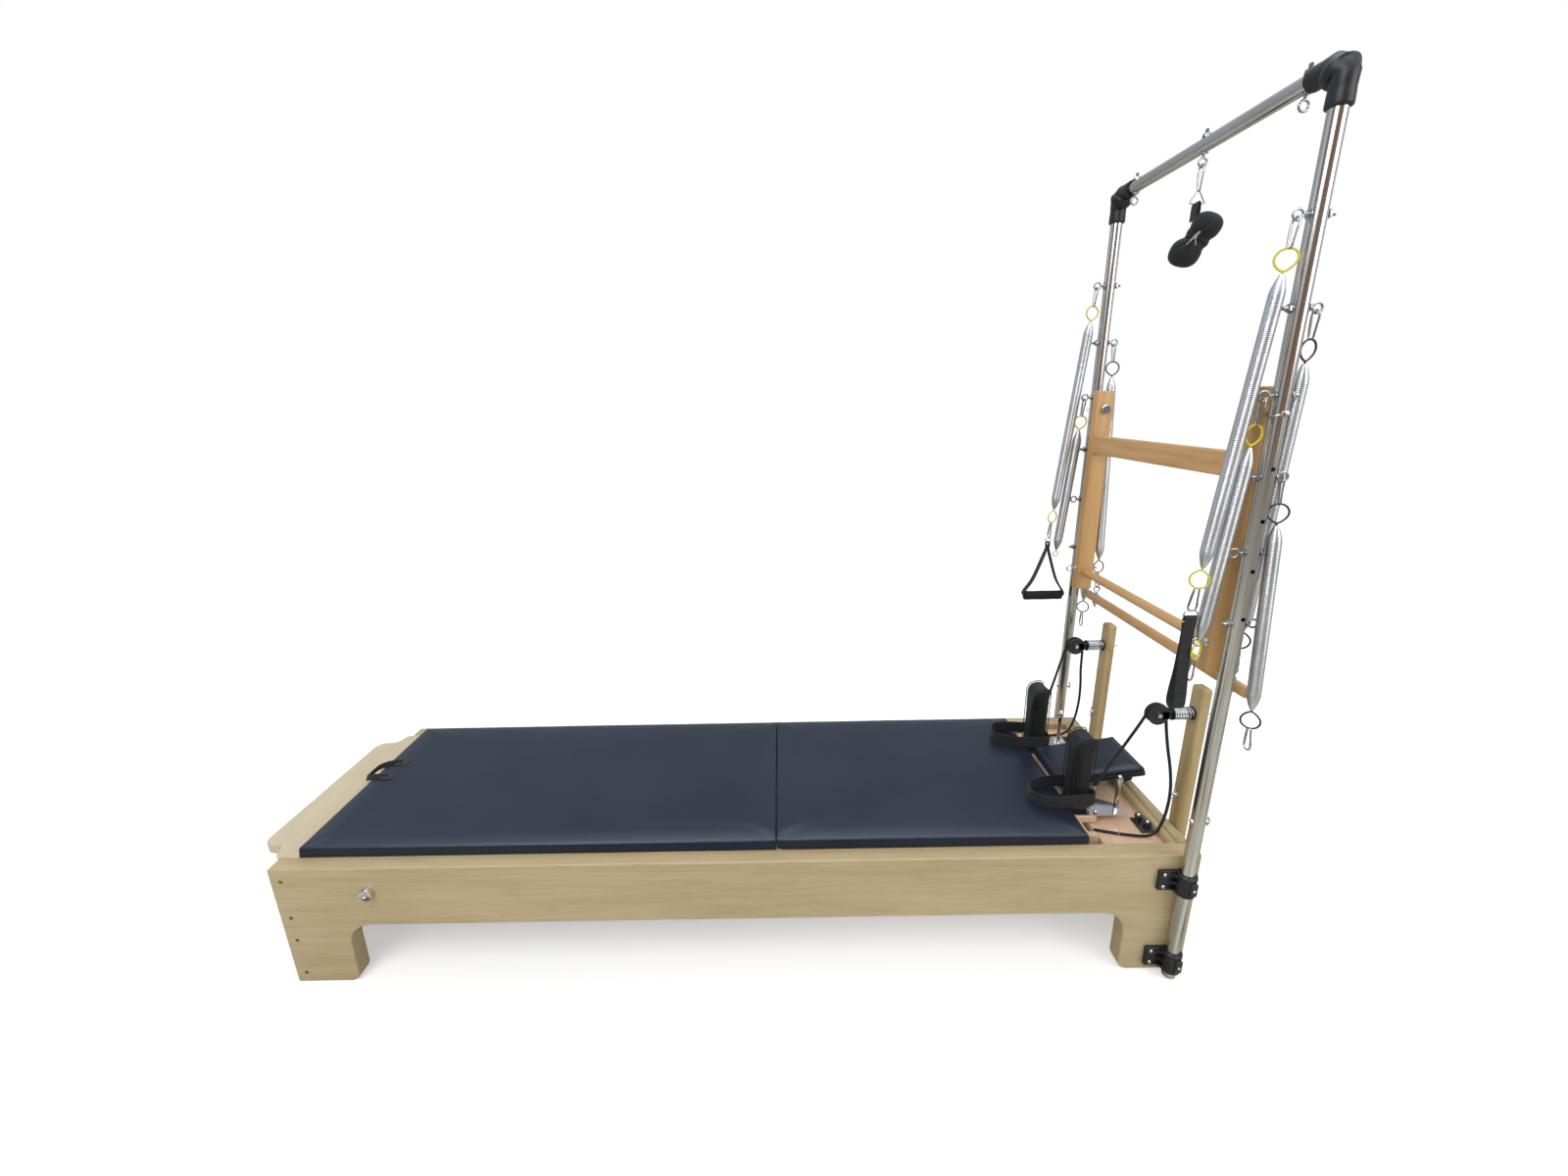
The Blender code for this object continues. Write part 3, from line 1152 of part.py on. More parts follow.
def build_headrest():
    body = BODIES["headrest"]
    pad = cushion((0.0, -HEADREST_HALF_WIDTH, 0.0), (HEADREST_LENGTH, HEADREST_HALF_WIDTH, HEADREST_THICK),
                  0.003, 0.009, (6, 4))
    tilt = Matrix.Rotation(-HEADREST_TILT, 4, 'Y')
    pivot = headrest_pivot()
    pad = moved(pad, pivot, tilt)
    add("headrest", pad, "vinyl", body)
    base = box((0.135, -0.060, -0.006), (0.225, -0.030, -GAP))
    arm_route = ((0.150, -0.045, -0.012), (0.200, -0.045, -0.014), (0.232, -0.052, -0.010),
                 (0.246, -0.060, -0.006))
    arm = swept(arm_route, 0.0045, 8)
    hinge = rod((0.150, -0.062, -0.010), (0.150, -0.028, -0.010), 0.0055, 10)
    add("headrest_prop", moved(union(base, arm, hinge), pivot, tilt), "chrome", body)


def headrest_pivot():
    return Vector((PAD_HEAD_X + 0.006, 0.0, HEADREST_HINGE_Z))


def build_strap_loops():
    """Loops of webbing that stand on edge round the shoulder rests."""
    low = PAD_TOP + PAD_CROWN + 0.001
    z = low + LOOP_HEIGHT / 2
    inner = SHOULDER_INNER_Y - 0.008
    outer = SHOULDER_INNER_Y + SHOULDER_WIDTH + 0.011
    back = SHOULDER_X + SHOULDER_DEPTH + 0.0060
    route = [(back, -0.150), (back, -inner - 0.013), (back - 0.004, -inner - 0.003), (back - 0.020, -inner),
             (SHOULDER_X + 0.005, -inner), (0.900, -inner - 0.004), (0.858, -inner - 0.016), (0.834, -0.142),
             (0.832, -0.172), (0.852, -0.200), (0.895, -outer - 0.008), (SHOULDER_X + 0.005, -outer - 0.002),
             (back - 0.020, -outer), (back - 0.004, -outer + 0.004), (back, -0.182)]
    for side_name, side in SIDES.items():
        path = [Vector((x, -y * side, z)) for x, y in route]
        loop = band(path, (0, 0, 1), LOOP_HEIGHT, WEBBING_THICK)
        before, end = rope_points(side)[-2:]
        ahead = (end - before).normalized()
        loop = union(loop, rod(end + ahead * GAP, end + ahead * 0.017, ROPE_DIAMETER / 2 - 0.0002, 8))
        add("strap_loop_" + side_name, loop, "webbing", BODIES["carriage"])


def build_mat():
    """The conversion mat, which fills the well at the foot end, with its pull loop."""
    mat = cushion((MAT_FOOT_X, -PAD_HALF_WIDTH, RAIL_TOP + GAP),
                  (SEAM_X - 0.0005, PAD_HALF_WIDTH, MAT_TOP + 0.001), PAD_CROWN, PAD_EDGE_ROUND)
    add("conversion_mat", mat, "vinyl", BODIES["mat"])


def build_bodies():
    """Empties on the joint axes: what moves is parented to them."""
    shift = Vector((MIDDLE_X, 0, 0))
    frame = empty("frame_middle", shift)
    bodies = {"frame": frame}

    def body(name, place, parent="frame"):
        bodies[name] = empty(name + "_axis", shift + Vector(place), bodies[parent])

    body("carriage", (PAD_HEAD_X, 0, TRACK_TOP))
    body("mat", (MAT_FOOT_X, 0, RAIL_TOP), "carriage")
    body("headrest", headrest_pivot(), "carriage")
    for label, x in zip(("foot", "head"), wheel_places()):
        for side_name, side in SIDES.items():
            y = side * (BEAM_Y + BEAM_THICK / 2 + 0.0006 + WHEEL_WIDTH / 2)
            body("wheel_%s_%s" % (label, side_name), (x, y, WHEEL_Z), "carriage")
    body("push_frame", (TOWER_X, 0, PIVOT_Z))
    body("roll_down", (TOWER_X + EYE_REACH, 0, eye_stations()[1][0]))
    body("cuff", (TOWER_X, 0, TOP_BAR_Z - EYE_REACH))
    for kind, station in (("arm", 0), ("leg", 2), ("tower", 3)):
        for side_name, side in SIDES.items():
            drop = EYE_RING_RADIUS if kind == "leg" else 0.0
            body("%s_spring_%s" % (kind, side_name), eye_centre(side, station) - Vector((0, 0, drop)))
    for side_name, side in SIDES.items():
        body("sheave_" + side_name, (PULLEY_X, side * RISER_Y, PULLEY_Z))
    return bodies


clear_scene()
MATERIALS = {
    "maple": material("maple", (0.72, 0.56, 0.36), 0.45),
    "plywood": material("plywood", (0.80, 0.58, 0.40), 0.55),
    "vinyl": material("vinyl", (0.025, 0.028, 0.035), 0.40),
    "webbing": material("webbing", (0.012, 0.012, 0.014), 0.85),
    "rope": material("rope", (0.012, 0.012, 0.013), 0.80),
    "foam": material("foam", (0.015, 0.015, 0.016), 0.90),
    "black_plastic": material("black_plastic", (0.020, 0.020, 0.022), 0.50),
    "black_metal": material("black_metal", (0.020, 0.020, 0.022), 0.40, 0.6),
    "wheel_rubber": material("wheel_rubber", (0.08, 0.08, 0.08), 0.60),
    "steel": material("steel", (0.62, 0.62, 0.60), 0.30, 1.0),
    "spring_steel": material("spring_steel", (0.70, 0.70, 0.71), 0.28, 1.0),
    "chrome": material("chrome", (0.80, 0.80, 0.80), 0.12, 1.0),
}
BODIES = build_bodies()
build_rails()
build_end_boards()
build_foot_plate()
build_deck()
build_footbar()
build_uprights()
build_top_bar()
build_elbows()
build_clamps()
build_push_frame()
build_tower_springs()
build_roll_down_bar()
build_arm_strap()
build_handle()
build_cuff()
build_risers()
build_pulleys()
build_cleats()
build_ropes()
build_carriage()
build_carriage_springs()
build_shoulder_rests()
build_headrest()
build_strap_loops()
build_mat()
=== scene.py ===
"""Looks of the pilates reformer with tower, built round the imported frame. Metres, +Z up.

Pieces are drawn from the middle of the wooden frame, as in the part's source, and are then
shifted along X by SHIFT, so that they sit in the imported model's frame. Profiles, the radii of
tubes and the spans of blocks are written in millimetres.
"""
from itertools import product
from math import atan2, copysign, cos, hypot, pi, radians, sin, sqrt, tan

import bmesh
import bpy
from mathutils import Matrix, Vector, noise


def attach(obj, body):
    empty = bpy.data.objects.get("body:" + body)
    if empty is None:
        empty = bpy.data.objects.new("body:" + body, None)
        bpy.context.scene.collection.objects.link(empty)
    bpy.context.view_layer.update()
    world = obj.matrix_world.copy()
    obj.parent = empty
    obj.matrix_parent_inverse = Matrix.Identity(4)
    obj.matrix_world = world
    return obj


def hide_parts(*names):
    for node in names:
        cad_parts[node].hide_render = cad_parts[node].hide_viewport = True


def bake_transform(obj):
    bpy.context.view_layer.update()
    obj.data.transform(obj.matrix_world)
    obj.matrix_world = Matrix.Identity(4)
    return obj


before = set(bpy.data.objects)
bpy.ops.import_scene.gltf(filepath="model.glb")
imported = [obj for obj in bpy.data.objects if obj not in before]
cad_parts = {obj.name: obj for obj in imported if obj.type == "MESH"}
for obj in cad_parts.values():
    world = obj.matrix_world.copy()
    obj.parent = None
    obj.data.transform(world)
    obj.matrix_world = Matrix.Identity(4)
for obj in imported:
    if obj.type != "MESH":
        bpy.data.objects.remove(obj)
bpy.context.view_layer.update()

# Sizes shared with the part's source
SHIFT = Vector((0.0277, 0, 0))
FRAME_SIDE = 0.355
RAIL_TOP = 0.366
TOWER_X = 1.155
TOWER_Y = 0.375
TUBE_RADIUS = 0.016
TOP_BAR_Z = 2.059
ELBOW_RADIUS = 0.0205
ELBOW_LEG = 0.052
EYE_TOP_Z = 1.817
EYE_PITCH = 0.163
EYE_REACH = 0.036
NUT_THICK = 0.007
PIVOT_Z = 1.455
PIVOT_PITCH = 0.1095
ARM_OUTER_Y = 0.345
ARM_INNER_Y = 0.311
ARM_WIDTH = 0.052
ARM_EYE_Z = 0.94
DOWEL_Z = 0.93
HOOK_LENGTH = 0.115
LONG_COIL = 0.56
SHORT_COIL = 0.4
CLIPPED_COIL = 0.38
CLIPPED_HOOK = 0.03
HOOK_TOP = -0.0038
RISER_X = 1.2003
RISER_Y = 0.229
PULLEY_X = 1.1083
PULLEY_Z = 0.7
SEAM_X = 0.113
PAD_HEAD_X = 0.937
PAD_HALF_WIDTH = 0.312
PAD_TOP = 0.394
MAT_FOOT_X = -1.151
DECK_TOP = 0.345
PLATFORM_TOP = 0.368
HEADREST_SIZE = (0.262, 0.093, 0.03)
HEADREST_TILT = radians(7.6)
HEADREST_HINGE_Z = 0.386
SHOULDER_X = 0.9405
SHOULDER_DEPTH = 0.055
SHOULDER_INNER_Y = 0.111
SHOULDER_OUTER_Y = 0.186
SHOULDER_TOP = 0.6
FOOTBAR_PIVOT = (-0.951, 0.293)
ROPE_DIAMETER = 0.008
GAP = 0.0003
SIDES = {"near": -1, "far": 1}
X, Y, Z = Vector((1, 0, 0)), Vector((0, 1, 0)), Vector((0, 0, 1))
WHITE = (1, 1, 1, 1)


# ---------------- camera and stage

def link(name, data):
    obj = bpy.data.objects.new(name, data)
    bpy.context.scene.collection.objects.link(obj)
    return obj


def make_camera():
    """The photograph's own camera, fitted to the frame's corners."""
    pitch, yaw, roll = 0.2776, -0.0056, -0.0206
    ahead = Vector((sin(yaw) * cos(pitch), cos(yaw) * cos(pitch), -sin(pitch)))
    right = Vector((cos(yaw), -sin(yaw), 0.0))
    up = right.cross(ahead)
    turn = Matrix((right * cos(roll) + up * sin(roll), up * cos(roll) - right * sin(roll), -ahead))
    data = bpy.data.cameras.new("camera")
    data.sensor_width = 36.0
    data.lens = 36.0 * 624.9 / 1600
    data.shift_x = (800 - 794.8) / 1600
    data.shift_y = (586.4 - 600) / 1600
    data.clip_start = 0.05
    camera = link("camera", data)
    place = Vector((0.1418, -1.6603, 1.5024)) + SHIFT
    camera.matrix_world = Matrix.Translation(place) @ turn.transposed().to_4x4()
    bpy.context.scene.camera = camera


tree = None    # the node tree in hand, to which node() adds


def clear_tree(owner):
    global tree
    owner.use_nodes = True
    tree = owner.node_tree
    tree.nodes.clear()


def node(kind, inputs=None, **props):
    """A shader node's outputs. Its inputs are values or the outputs of others."""
    made = tree.nodes.new("ShaderNode" + kind)
    for key, value in props.items():
        setattr(made, key, value)
    for key, value in (inputs or {}).items():
        if isinstance(value, bpy.types.NodeSocket):
            tree.links.new(value, made.inputs[key])
        else:
            made.inputs[key].default_value = value
    return made.outputs


def maths(operation, *values):
    return node("Math", dict(enumerate(values)), operation=operation)[0]


def remap(value, low, high, start=0.0, end=1.0):
    return node("MapRange", {"Value": value, "From Min": start, "From Max": end,
                                   "To Min": low, "To Max": high})[0]


def speckle(coords, scale, detail, **more):
    inputs = {"Vector": coords} if coords else {}
    return node("TexNoise", {**inputs, "Scale": scale, "Detail": detail, **more})


def ramp(value, *stops):
    """A colour ramp through stops of a position and a colour."""
    made = tree.nodes.new("ShaderNodeValToRGB")
    tree.links.new(value, made.inputs["Fac"])
    points = made.color_ramp.elements
    while len(points) < len(stops):
        points.new(0.5)
    for point, (place, *colour) in zip(points, stops):
        point.position = place
        point.color = (*colour, 1.0)
    return made.outputs["Color"]


def mix(kind, share, first, second):
    return node("Mix", {0: share, 6: first, 7: second}, data_type='RGBA', blend_type=kind)[2]


def make_floor():
    """A white floor that keeps the shadow and shows chrome a room's floor with rugs."""
    part = bmesh.new()
    bmesh.ops.create_grid(part, x_segments=2, y_segments=2, size=14)
    floor = link("floor", to_mesh("floor", part))
    floor.location.z = -0.0004
    mat = bpy.data.materials.new("floor_white")
    clear_tree(mat)
    path = node("LightPath")
    seen = maths('MAXIMUM', path["Is Camera Ray"], path["Is Transmission Ray"])
    tone = remap(speckle(None, 3.0, 2.0)[0], 0.8, 0.84)
    colour = node("CombineColor", {0: tone, 1: tone, 2: tone})[0]
    place = node("TexCoord")["Object"]
    rugs = ramp(speckle(place, 1.3, 1.0)[0], (0.38, 0.15, 0.14, 0.115),
                (0.44, 0.56, 0.565, 0.51), (0.55, 0.86, 0.87, 0.8), (0.62, 0.42, 0.41, 0.36))
    matte = node("BsdfDiffuse", {"Color": mix('MIX', path["Is Glossy Ray"], colour, rugs)})
    away = node("VectorMath", {0: place}, operation='LENGTH')["Value"]
    lift = maths('MULTIPLY', seen, remap(away, 0.42, 0.66, 1.2, 4.5))
    glow = node("Emission", {"Color": WHITE, "Strength": lift})
    both = node("AddShader", {0: matte[0], 1: glow[0]})
    node("OutputMaterial", {"Surface": both[0]})
    floor.data.materials.append(mat)


def make_room():
    """White surroundings, a room's walls and windows for chrome, and soft lamps."""
    world = bpy.data.worlds.new("studio")
    bpy.context.scene.world = world
    clear_tree(world)
    path = node("LightPath")
    seen = maths('MAXIMUM', path["Is Camera Ray"], path["Is Glossy Ray"])
    seen = maths('MAXIMUM', seen, path["Is Transmission Ray"])
    white = node("Background", {"Color": WHITE, "Strength": remap(seen, 0.55, 1.0)})
    heading = node("TexCoord")["Generated"]
    split = node("SeparateXYZ", {0: heading})
    around = maths('ARCTAN2', split[1], split[0])
    around = maths('MULTIPLY_ADD', around, 1 / (2 * pi), 0.47)
    waver = speckle(heading, 2.2, 1.0)[0]
    around = maths('MULTIPLY_ADD', waver, 0.06, around)
    walls = ramp(around, (0.0, 0.34, 0.35, 0.37), (0.04, 0.04, 0.04, 0.04), (0.075, 0.42, 0.43, 0.45),
                 (0.135, 0.6, 0.62, 0.66), (0.165, 0.2, 0.13, 0.09), (0.285, 0.3, 0.2, 0.14),
                 (0.32, 0.03, 0.03, 0.03), (0.37, 0.95, 0.96, 1.0), (0.47, 0.3, 0.28, 0.27),
                 (0.54, 0.8, 0.83, 0.88), (0.62, 0.46, 0.5, 0.56), (0.76, 0.44, 0.49, 0.56),
                 (0.86, 0.38, 0.41, 0.46), (0.94, 0.8, 0.82, 0.86), (1.0, 0.34, 0.35, 0.37))
    above = remap(maths('ABSOLUTE', split[2]), 0, 1, 0.45, 0.85)
    room = mix('MIX', above, walls, (0.62, 0.64, 0.68, 1))
    room = mix('MIX', remap(split[2], 0, 1, 0.74, 0.95), room, (3.9, 4.2, 4.8, 1))
    inside = node("Background", {"Color": room, "Strength": 1.0})
    back = node("MixShader", {0: path["Is Glossy Ray"], 1: white[0], 2: inside[0]})
    node("OutputWorld", {"Surface": back[0]})

    for name, place, aim, size, power in (("key", (-1.6, -2.6, 3.6), (0.2, 0, 0.4), 2.2, 75),
                                          ("fill", (3.0, -2.2, 2.6), (0.6, 0, 0.8), 2.0, 38),
                                          ("back", (0.4, 3.0, 3.4), (0.2, 0, 0.6), 2.4, 40)):
        data = bpy.data.lights.new(name, 'AREA')
        data.size, data.energy = size, power
        lamp = link(name, data)
        lamp.location = place
        lamp.visible_glossy = name != "back"
        lamp.rotation_euler = (Vector(place) - Vector(aim)).to_track_quat('Z', 'Y').to_euler()
    bpy.context.scene.view_settings.view_transform = 'Standard'


# ---------------- materials

def start_material(name, roughness, metallic=0.0, **constants):
    global tree
    mat = bpy.data.materials.new(name)
    mat.use_nodes = True
    tree = mat.node_tree
    shader = tree.nodes["Principled BSDF"]
    for key, value in {"Roughness": roughness, "Metallic": metallic, **constants}.items():
        shader.inputs[key.replace("_", " ")].default_value = value
    return mat, shader, node("TexCoord")["Object"]


def finish_material(mat, shader, colour, uneven, roughness, height, strength, distance):
    """Colour a material, vary its roughness and let a height roughen its face."""
    normal = node("Bump", {"Height": height, "Strength": strength, "Distance": distance})[0]
    tree.links.new(colour, shader.inputs["Base Color"])
    tree.links.new(remap(uneven, *roughness), shader.inputs["Roughness"])
    tree.links.new(normal, shader.inputs["Normal"])
    return mat


def stretched(coords, axis, along, across):
    scale = [along if a == axis else across for a in "XYZ"]
    return node("Mapping", {"Vector": coords, "Scale": scale})[0]


def wood(name, axis, light, mid, dark, figure=0.22):
    """Lacquered wood: a slow figure, growth lines, fine fibres and pores along one axis."""
    mat, shader, coords = start_material(name, 0.45, Coat_Weight=0.16, Coat_Roughness=0.25)
    slow = stretched(coords, axis, 1.0, 6.0)
    broad = speckle(slow, 1.6, 3.0, Distortion=0.6)
    warp = node("VectorMath", {0: slow, 1: broad["Color"]}, operation='ADD')[0]
    rings = node("TexWave", {"Vector": warp, "Scale": 1.1, "Distortion": 4.5, "Detail": 2.0, "Detail Scale": 0.9},
                 wave_type='BANDS', bands_direction='Z' if axis != "Z" else 'X')["Fac"]
    fibres = speckle(stretched(coords, axis, 5.0, 260.0), 1.0, 4.0)[0]
    pores = speckle(stretched(coords, axis, 22.0, 900.0), 1.0, 1.0)[0]
    base = ramp(broad[0], (0.3, *light), (0.62, *mid))
    lines = ramp(rings, (0.0, *dark), (0.35, *mid), (1.0, *light))
    colour = mix('MIX', figure, base, lines)
    shade = ramp(fibres, (0.3, 0.8, 0.78, 0.74), (0.62, 1, 1, 1))
    colour = mix('MULTIPLY', 0.55, colour, shade)
    specks = ramp(pores, (0.3, 0.62, 0.56, 0.48), (0.38, 1, 1, 1))
    colour = mix('MULTIPLY', 0.45, colour, specks)
    return finish_material(mat, shader, colour, fibres, (0.4, 0.52), fibres, 0.1, 0.0004)


def vinyl(name, colour, worn, roughness):
    """Upholstery vinyl: pebbled grain, duller and brighter patches."""
    mat, shader, coords = start_material(name, 0.45, Specular_IOR_Level=0.33, Sheen_Weight=0.04,
                                               Sheen_Roughness=0.5)
    scale = 620.0
    cells = node("TexVoronoi", {"Vector": coords, "Scale": scale, "Randomness": 0.9})["Distance"]
    height = maths('ADD', cells, speckle(coords, scale * 1.9, 2.0)[0])
    patches = speckle(coords, 3.2, 4.0, Roughness=0.6)[0]
    colour = ramp(patches, (0.34, *colour), (0.7, *worn))
    return finish_material(mat, shader, colour, patches, roughness, height, 0.22, 0.0004)


def cloth(name, colour, thread, pitch=0.0016):
    """Webbing: a tight twill of ribs with lighter thread tops and fuzz."""
    mat, shader, coords = start_material(name, 0.82, Sheen_Weight=0.07, Sheen_Roughness=0.6)
    ways = [node("TexWave", {"Vector": coords, "Scale": 0.314 / pitch, "Distortion": 0.25},
                 wave_type='BANDS', bands_direction=way)["Fac"] for way in "XYZ"]
    weave = maths('ADD', maths('MULTIPLY', ways[0], ways[1]), ways[2])
    fuzz = speckle(coords, 480.0, 3.0)[0]
    colour = ramp(maths('MULTIPLY', weave, fuzz), (0.15, *colour), (0.85, *thread))
    return finish_material(mat, shader, colour, fuzz, (0.74, 0.92), weave, 0.45, 0.0006)


def moulded(name, colour, worn, roughness=(0.36, 0.5), scale=900.0, level=0.5):
    """Moulded plastic or foam: a fine texture with rubbed patches."""
    mat, shader, coords = start_material(name, 0.4, Specular_IOR_Level=level)
    fine = speckle(coords, scale, 2.0)[0]
    patches = speckle(coords, 24.0, 4.0)[0]
    colour = ramp(patches, (0.4, *colour), (0.75, *worn))
    return finish_material(mat, shader, colour, patches, roughness, fine, 0.12, 0.0003)


def metal(name, colour, stain, roughness, brushed=None, stain_scale=9.0):
    """Bright metal with faint stains and, along one axis, drawn lines."""
    mat, shader, coords = start_material(name, 0.2, 1.0)
    lines = speckle(stretched(coords, brushed, 3.0, 420.0 if brushed else 260.0), 1.0, 3.0)[0]
    patches = speckle(stretched(coords, brushed, 0.5, 1.0), stain_scale, 5.0, Distortion=0.4)[0]
    base = ramp(patches, (0.38, *colour), (0.72, *stain))
    shade = ramp(lines, (0.35, 0.86, 0.86, 0.86), (0.6, 1, 1, 1))
    colour = mix('MULTIPLY', 0.35, base, shade)
    return finish_material(mat, shader, colour, lines, roughness, lines, 0.04, 0.0002)


def tones(*numbers):
    """Colours from a flat run of thousandths."""
    return [tuple(n / 1000 for n in numbers[i:i + 3]) for i in range(0, len(numbers), 3)]


def build_materials():
    pale = tones(540, 435, 255, 480, 378, 208, 400, 300, 155)
    honey = tones(640, 390, 165, 560, 325, 125, 450, 235, 80)
    board = tones(840, 610, 430, 780, 540, 360, 680, 440, 270)
    chromed = tones(660, 655, 635, 540, 490, 435)
    plans = {
        "maple_x": (wood, "X", *pale),
        "maple_y": (wood, "Y", *pale),
        "plate": (wood, "Y", *tones(690, 610, 440, 630, 545, 375, 540, 445, 290)),
        "honey_z": (wood, "Z", *honey, 0.3),
        "honey_y": (wood, "Y", *honey, 0.3),
        "post": (wood, "Z", *tones(500, 385, 190, 440, 320, 145, 330, 215, 85), 0.6),
        "board": (wood, "Y", *board, 0.25),
        "ply": (wood, "X", *board, 0.25),
        "vinyl": (vinyl, *tones(7, 12.5, 25, 11.5, 18, 33.5), (0.27, 0.4)),
        "rest_vinyl": (vinyl, *tones(8.5, 9.5, 11, 12.5, 13.8, 16), (0.46, 0.6)),
        "cuff": (cloth, *tones(3.4, 3.8, 5, 8.5, 9.5, 12.5), 0.0024),
        "webbing": (cloth, *tones(3.6, 4, 5.2, 13, 14.2, 17.5)),
        "rope": (cloth, *tones(3.6, 3.8, 4.6, 15, 16, 18), 0.0012),
        "foam": (moulded, *tones(11, 11.2, 12.2, 19, 19.5, 21), (0.78, 0.92), 700.0, 0.3),
        "black": (moulded, *tones(7, 7.8, 9.8, 13, 14, 16.5)),
        "rubber": (moulded, *tones(45, 45, 47, 70, 70, 72), (0.6, 0.75)),
        "dark_metal": (moulded, *tones(12, 12, 13.5, 24, 24, 26), (0.28, 0.42), 600.0),
        "steel": (metal, *chromed, (0.12, 0.24), "Z", 6.0),
        "steel_y": (metal, *chromed, (0.12, 0.24), "Y", 6.0),
        "coil": (metal, *tones(690, 715, 750, 570, 595, 630), (0.24, 0.36)),
        "chrome": (metal, *tones(700, 700, 710, 560, 550, 540), (0.08, 0.2)),
        "zinc": (metal, *tones(470, 475, 485, 340, 340, 345), (0.16, 0.3)),
        "yellow": (moulded, *tones(640, 570, 20, 560, 470, 15), (0.3, 0.42)),
        "ring_black": (moulded, *tones(30, 26, 30, 55, 45, 45), (0.3, 0.42)),
        "tie": (moulded, *tones(380, 370, 330, 480, 470, 430), (0.3, 0.42)),
        "plug": (moulded, *tones(130, 75, 35, 180, 110, 55), (0.45, 0.6)),
    }
    return {name: kind(name, *rest) for name, (kind, *rest) in plans.items()}


# ---------------- drawing

bm = bmesh.new()    # the drawing in hand, which make() turns into a piece


def mm(*numbers, at=(0, 0)):
    """Pairs in metres from a flat run of millimetres, counted from a place."""
    return [(at[0] + a / 1000, at[1] + b / 1000) for a, b in zip(numbers[::2], numbers[1::2])]


def steps_from(place, *numbers):
    """Points from a flat run of millimetres, three for each, counted from a place."""
    return [Vector(place) + Vector(numbers[i:i + 3]) / 1000 for i in range(0, len(numbers), 3)]


def standing(place, pairs, along=X):
    """Points over a place from pairs of reach along an axis and height."""
    return [Vector(place) + Vector(along) * a + Z * b for a, b in pairs]


def circle(radius, count):
    turns = [2 * pi * i / count for i in range(count)]
    return [(radius * cos(a), radius * sin(a)) for a in turns]


def arc(centre, radius, start, end, steps):
    turns = [radians(start + (end - start) * i / steps) for i in range(steps + 1)]
    return [(centre[0] + radius * cos(a), centre[1] + radius * sin(a)) for a in turns]


def spread(points, spacing):
    """Points at an even spacing on a smooth curve through the given points."""
    pts = [Vector(p) for p in points]
    pts = [pts[0] * 2 - pts[1], *pts, pts[-1] * 2 - pts[-2]]
    dense = []
    for a, b, c, d in zip(pts, pts[1:], pts[2:], pts[3:]):
        for t in [i / 16 for i in range(16)]:
            dense.append(0.5 * (2 * b + (c - a) * t + (2 * a - 5 * b + 4 * c - d) * t ** 2
                                + (3 * b - a - 3 * c + d) * t ** 3))
    dense.append(pts[-2])
    run = [0.0]
    for a, b in zip(dense, dense[1:]):
        run.append(run[-1] + (b - a).length)
    count = max(2, round(run[-1] / spacing))
    out, k = [], 0
    for i in range(count + 1):
        goal = run[-1] * i / count
        while k < len(run) - 2 and run[k + 1] < goal:
            k += 1
        share = (goal - run[k]) / max(run[k + 1] - run[k], 1e-9)
        out.append(dense[k].lerp(dense[k + 1], min(max(share, 0.0), 1.0)))
    return out


def loop(points, spacing):
    """An even closed route, without its repeated last point."""
    return spread([*points, points[0]], spacing)[:-1]


def ahead_of(pts, i, closed):
    before = pts[i - 1] if closed or i else pts[i]
    after = pts[(i + 1) % len(pts)] if closed or i < len(pts) - 1 else pts[i]
    return after - before


def skin(rows, closed, twist=False):
    """Faces between rows of points, with ends unless closed. A twisted end row meets the first at its nearest turn."""
    size = len(rows[0])
    for i, row in enumerate(rows if closed else rows[:-1]):
        upper = rows[(i + 1) % len(rows)]
        slip = 0
        if twist and i == len(rows) - 1:
            slip = min(range(size), key=lambda s: (row[0].co - upper[s].co).length)
        for j in range(size):
            k = (j + 1) % size
            bm.faces.new((row[j], row[k], upper[(k + slip) % size], upper[(j + slip) % size]))
    if not closed:
        bm.faces.new(rows[0][::-1])
        bm.faces.new(rows[-1])


def tube(points, radius, sides=12, closed=False, shape=None):
    """A round bar along a path. Its radius may be one number or one for each point."""
    pts = [Vector(p) for p in points]
    sizes = radius if isinstance(radius, list) else [radius] * len(pts)
    rows, across, run = [], None, 0.0
    for i, point in enumerate(pts):
        ahead = ahead_of(pts, i, closed).normalized()
        across = across or ahead.orthogonal().normalized()
        across = (across - ahead * across.dot(ahead)).normalized()
        other = ahead.cross(across)
        if i:
            run += (point - pts[i - 1]).length
        row = []
        for j in range(sides):
            a = 2 * pi * j / sides
            reach = sizes[i] / 1000 * (shape(a, run) if shape else 1.0)
            row.append(bm.verts.new(point + reach * (across * cos(a) + other * sin(a))))
        rows.append(row)
    skin(rows, closed, closed)


def band(points, width_axis, width, thick, closed=False, pinch=None):
    """Webbing along a path, with rounded selvedges."""
    axis = Vector(width_axis).normalized()
    edge, t = 0.32 * thick, thick / 2
    rows = []
    for i, point in enumerate(points):
        out = ahead_of(points, i, closed).cross(axis).normalized()
        w = width / 2 * (pinch[i] if pinch else 1.0)
        ring = [(w - edge, t), (0.0, t * 1.04), (-w + edge, t), (-w, t * 0.35), (-w, -t * 0.35), (-w + edge, -t),
                (0.0, -t * 1.04), (w - edge, -t), (w, -t * 0.35), (w, t * 0.35)]
        rows.append([bm.verts.new(point + axis * a + out * b) for a, b in ring])
    skin(rows, closed)


def turn_to(direction):
    return Z.rotation_difference(Vector(direction)).to_matrix().to_4x4()


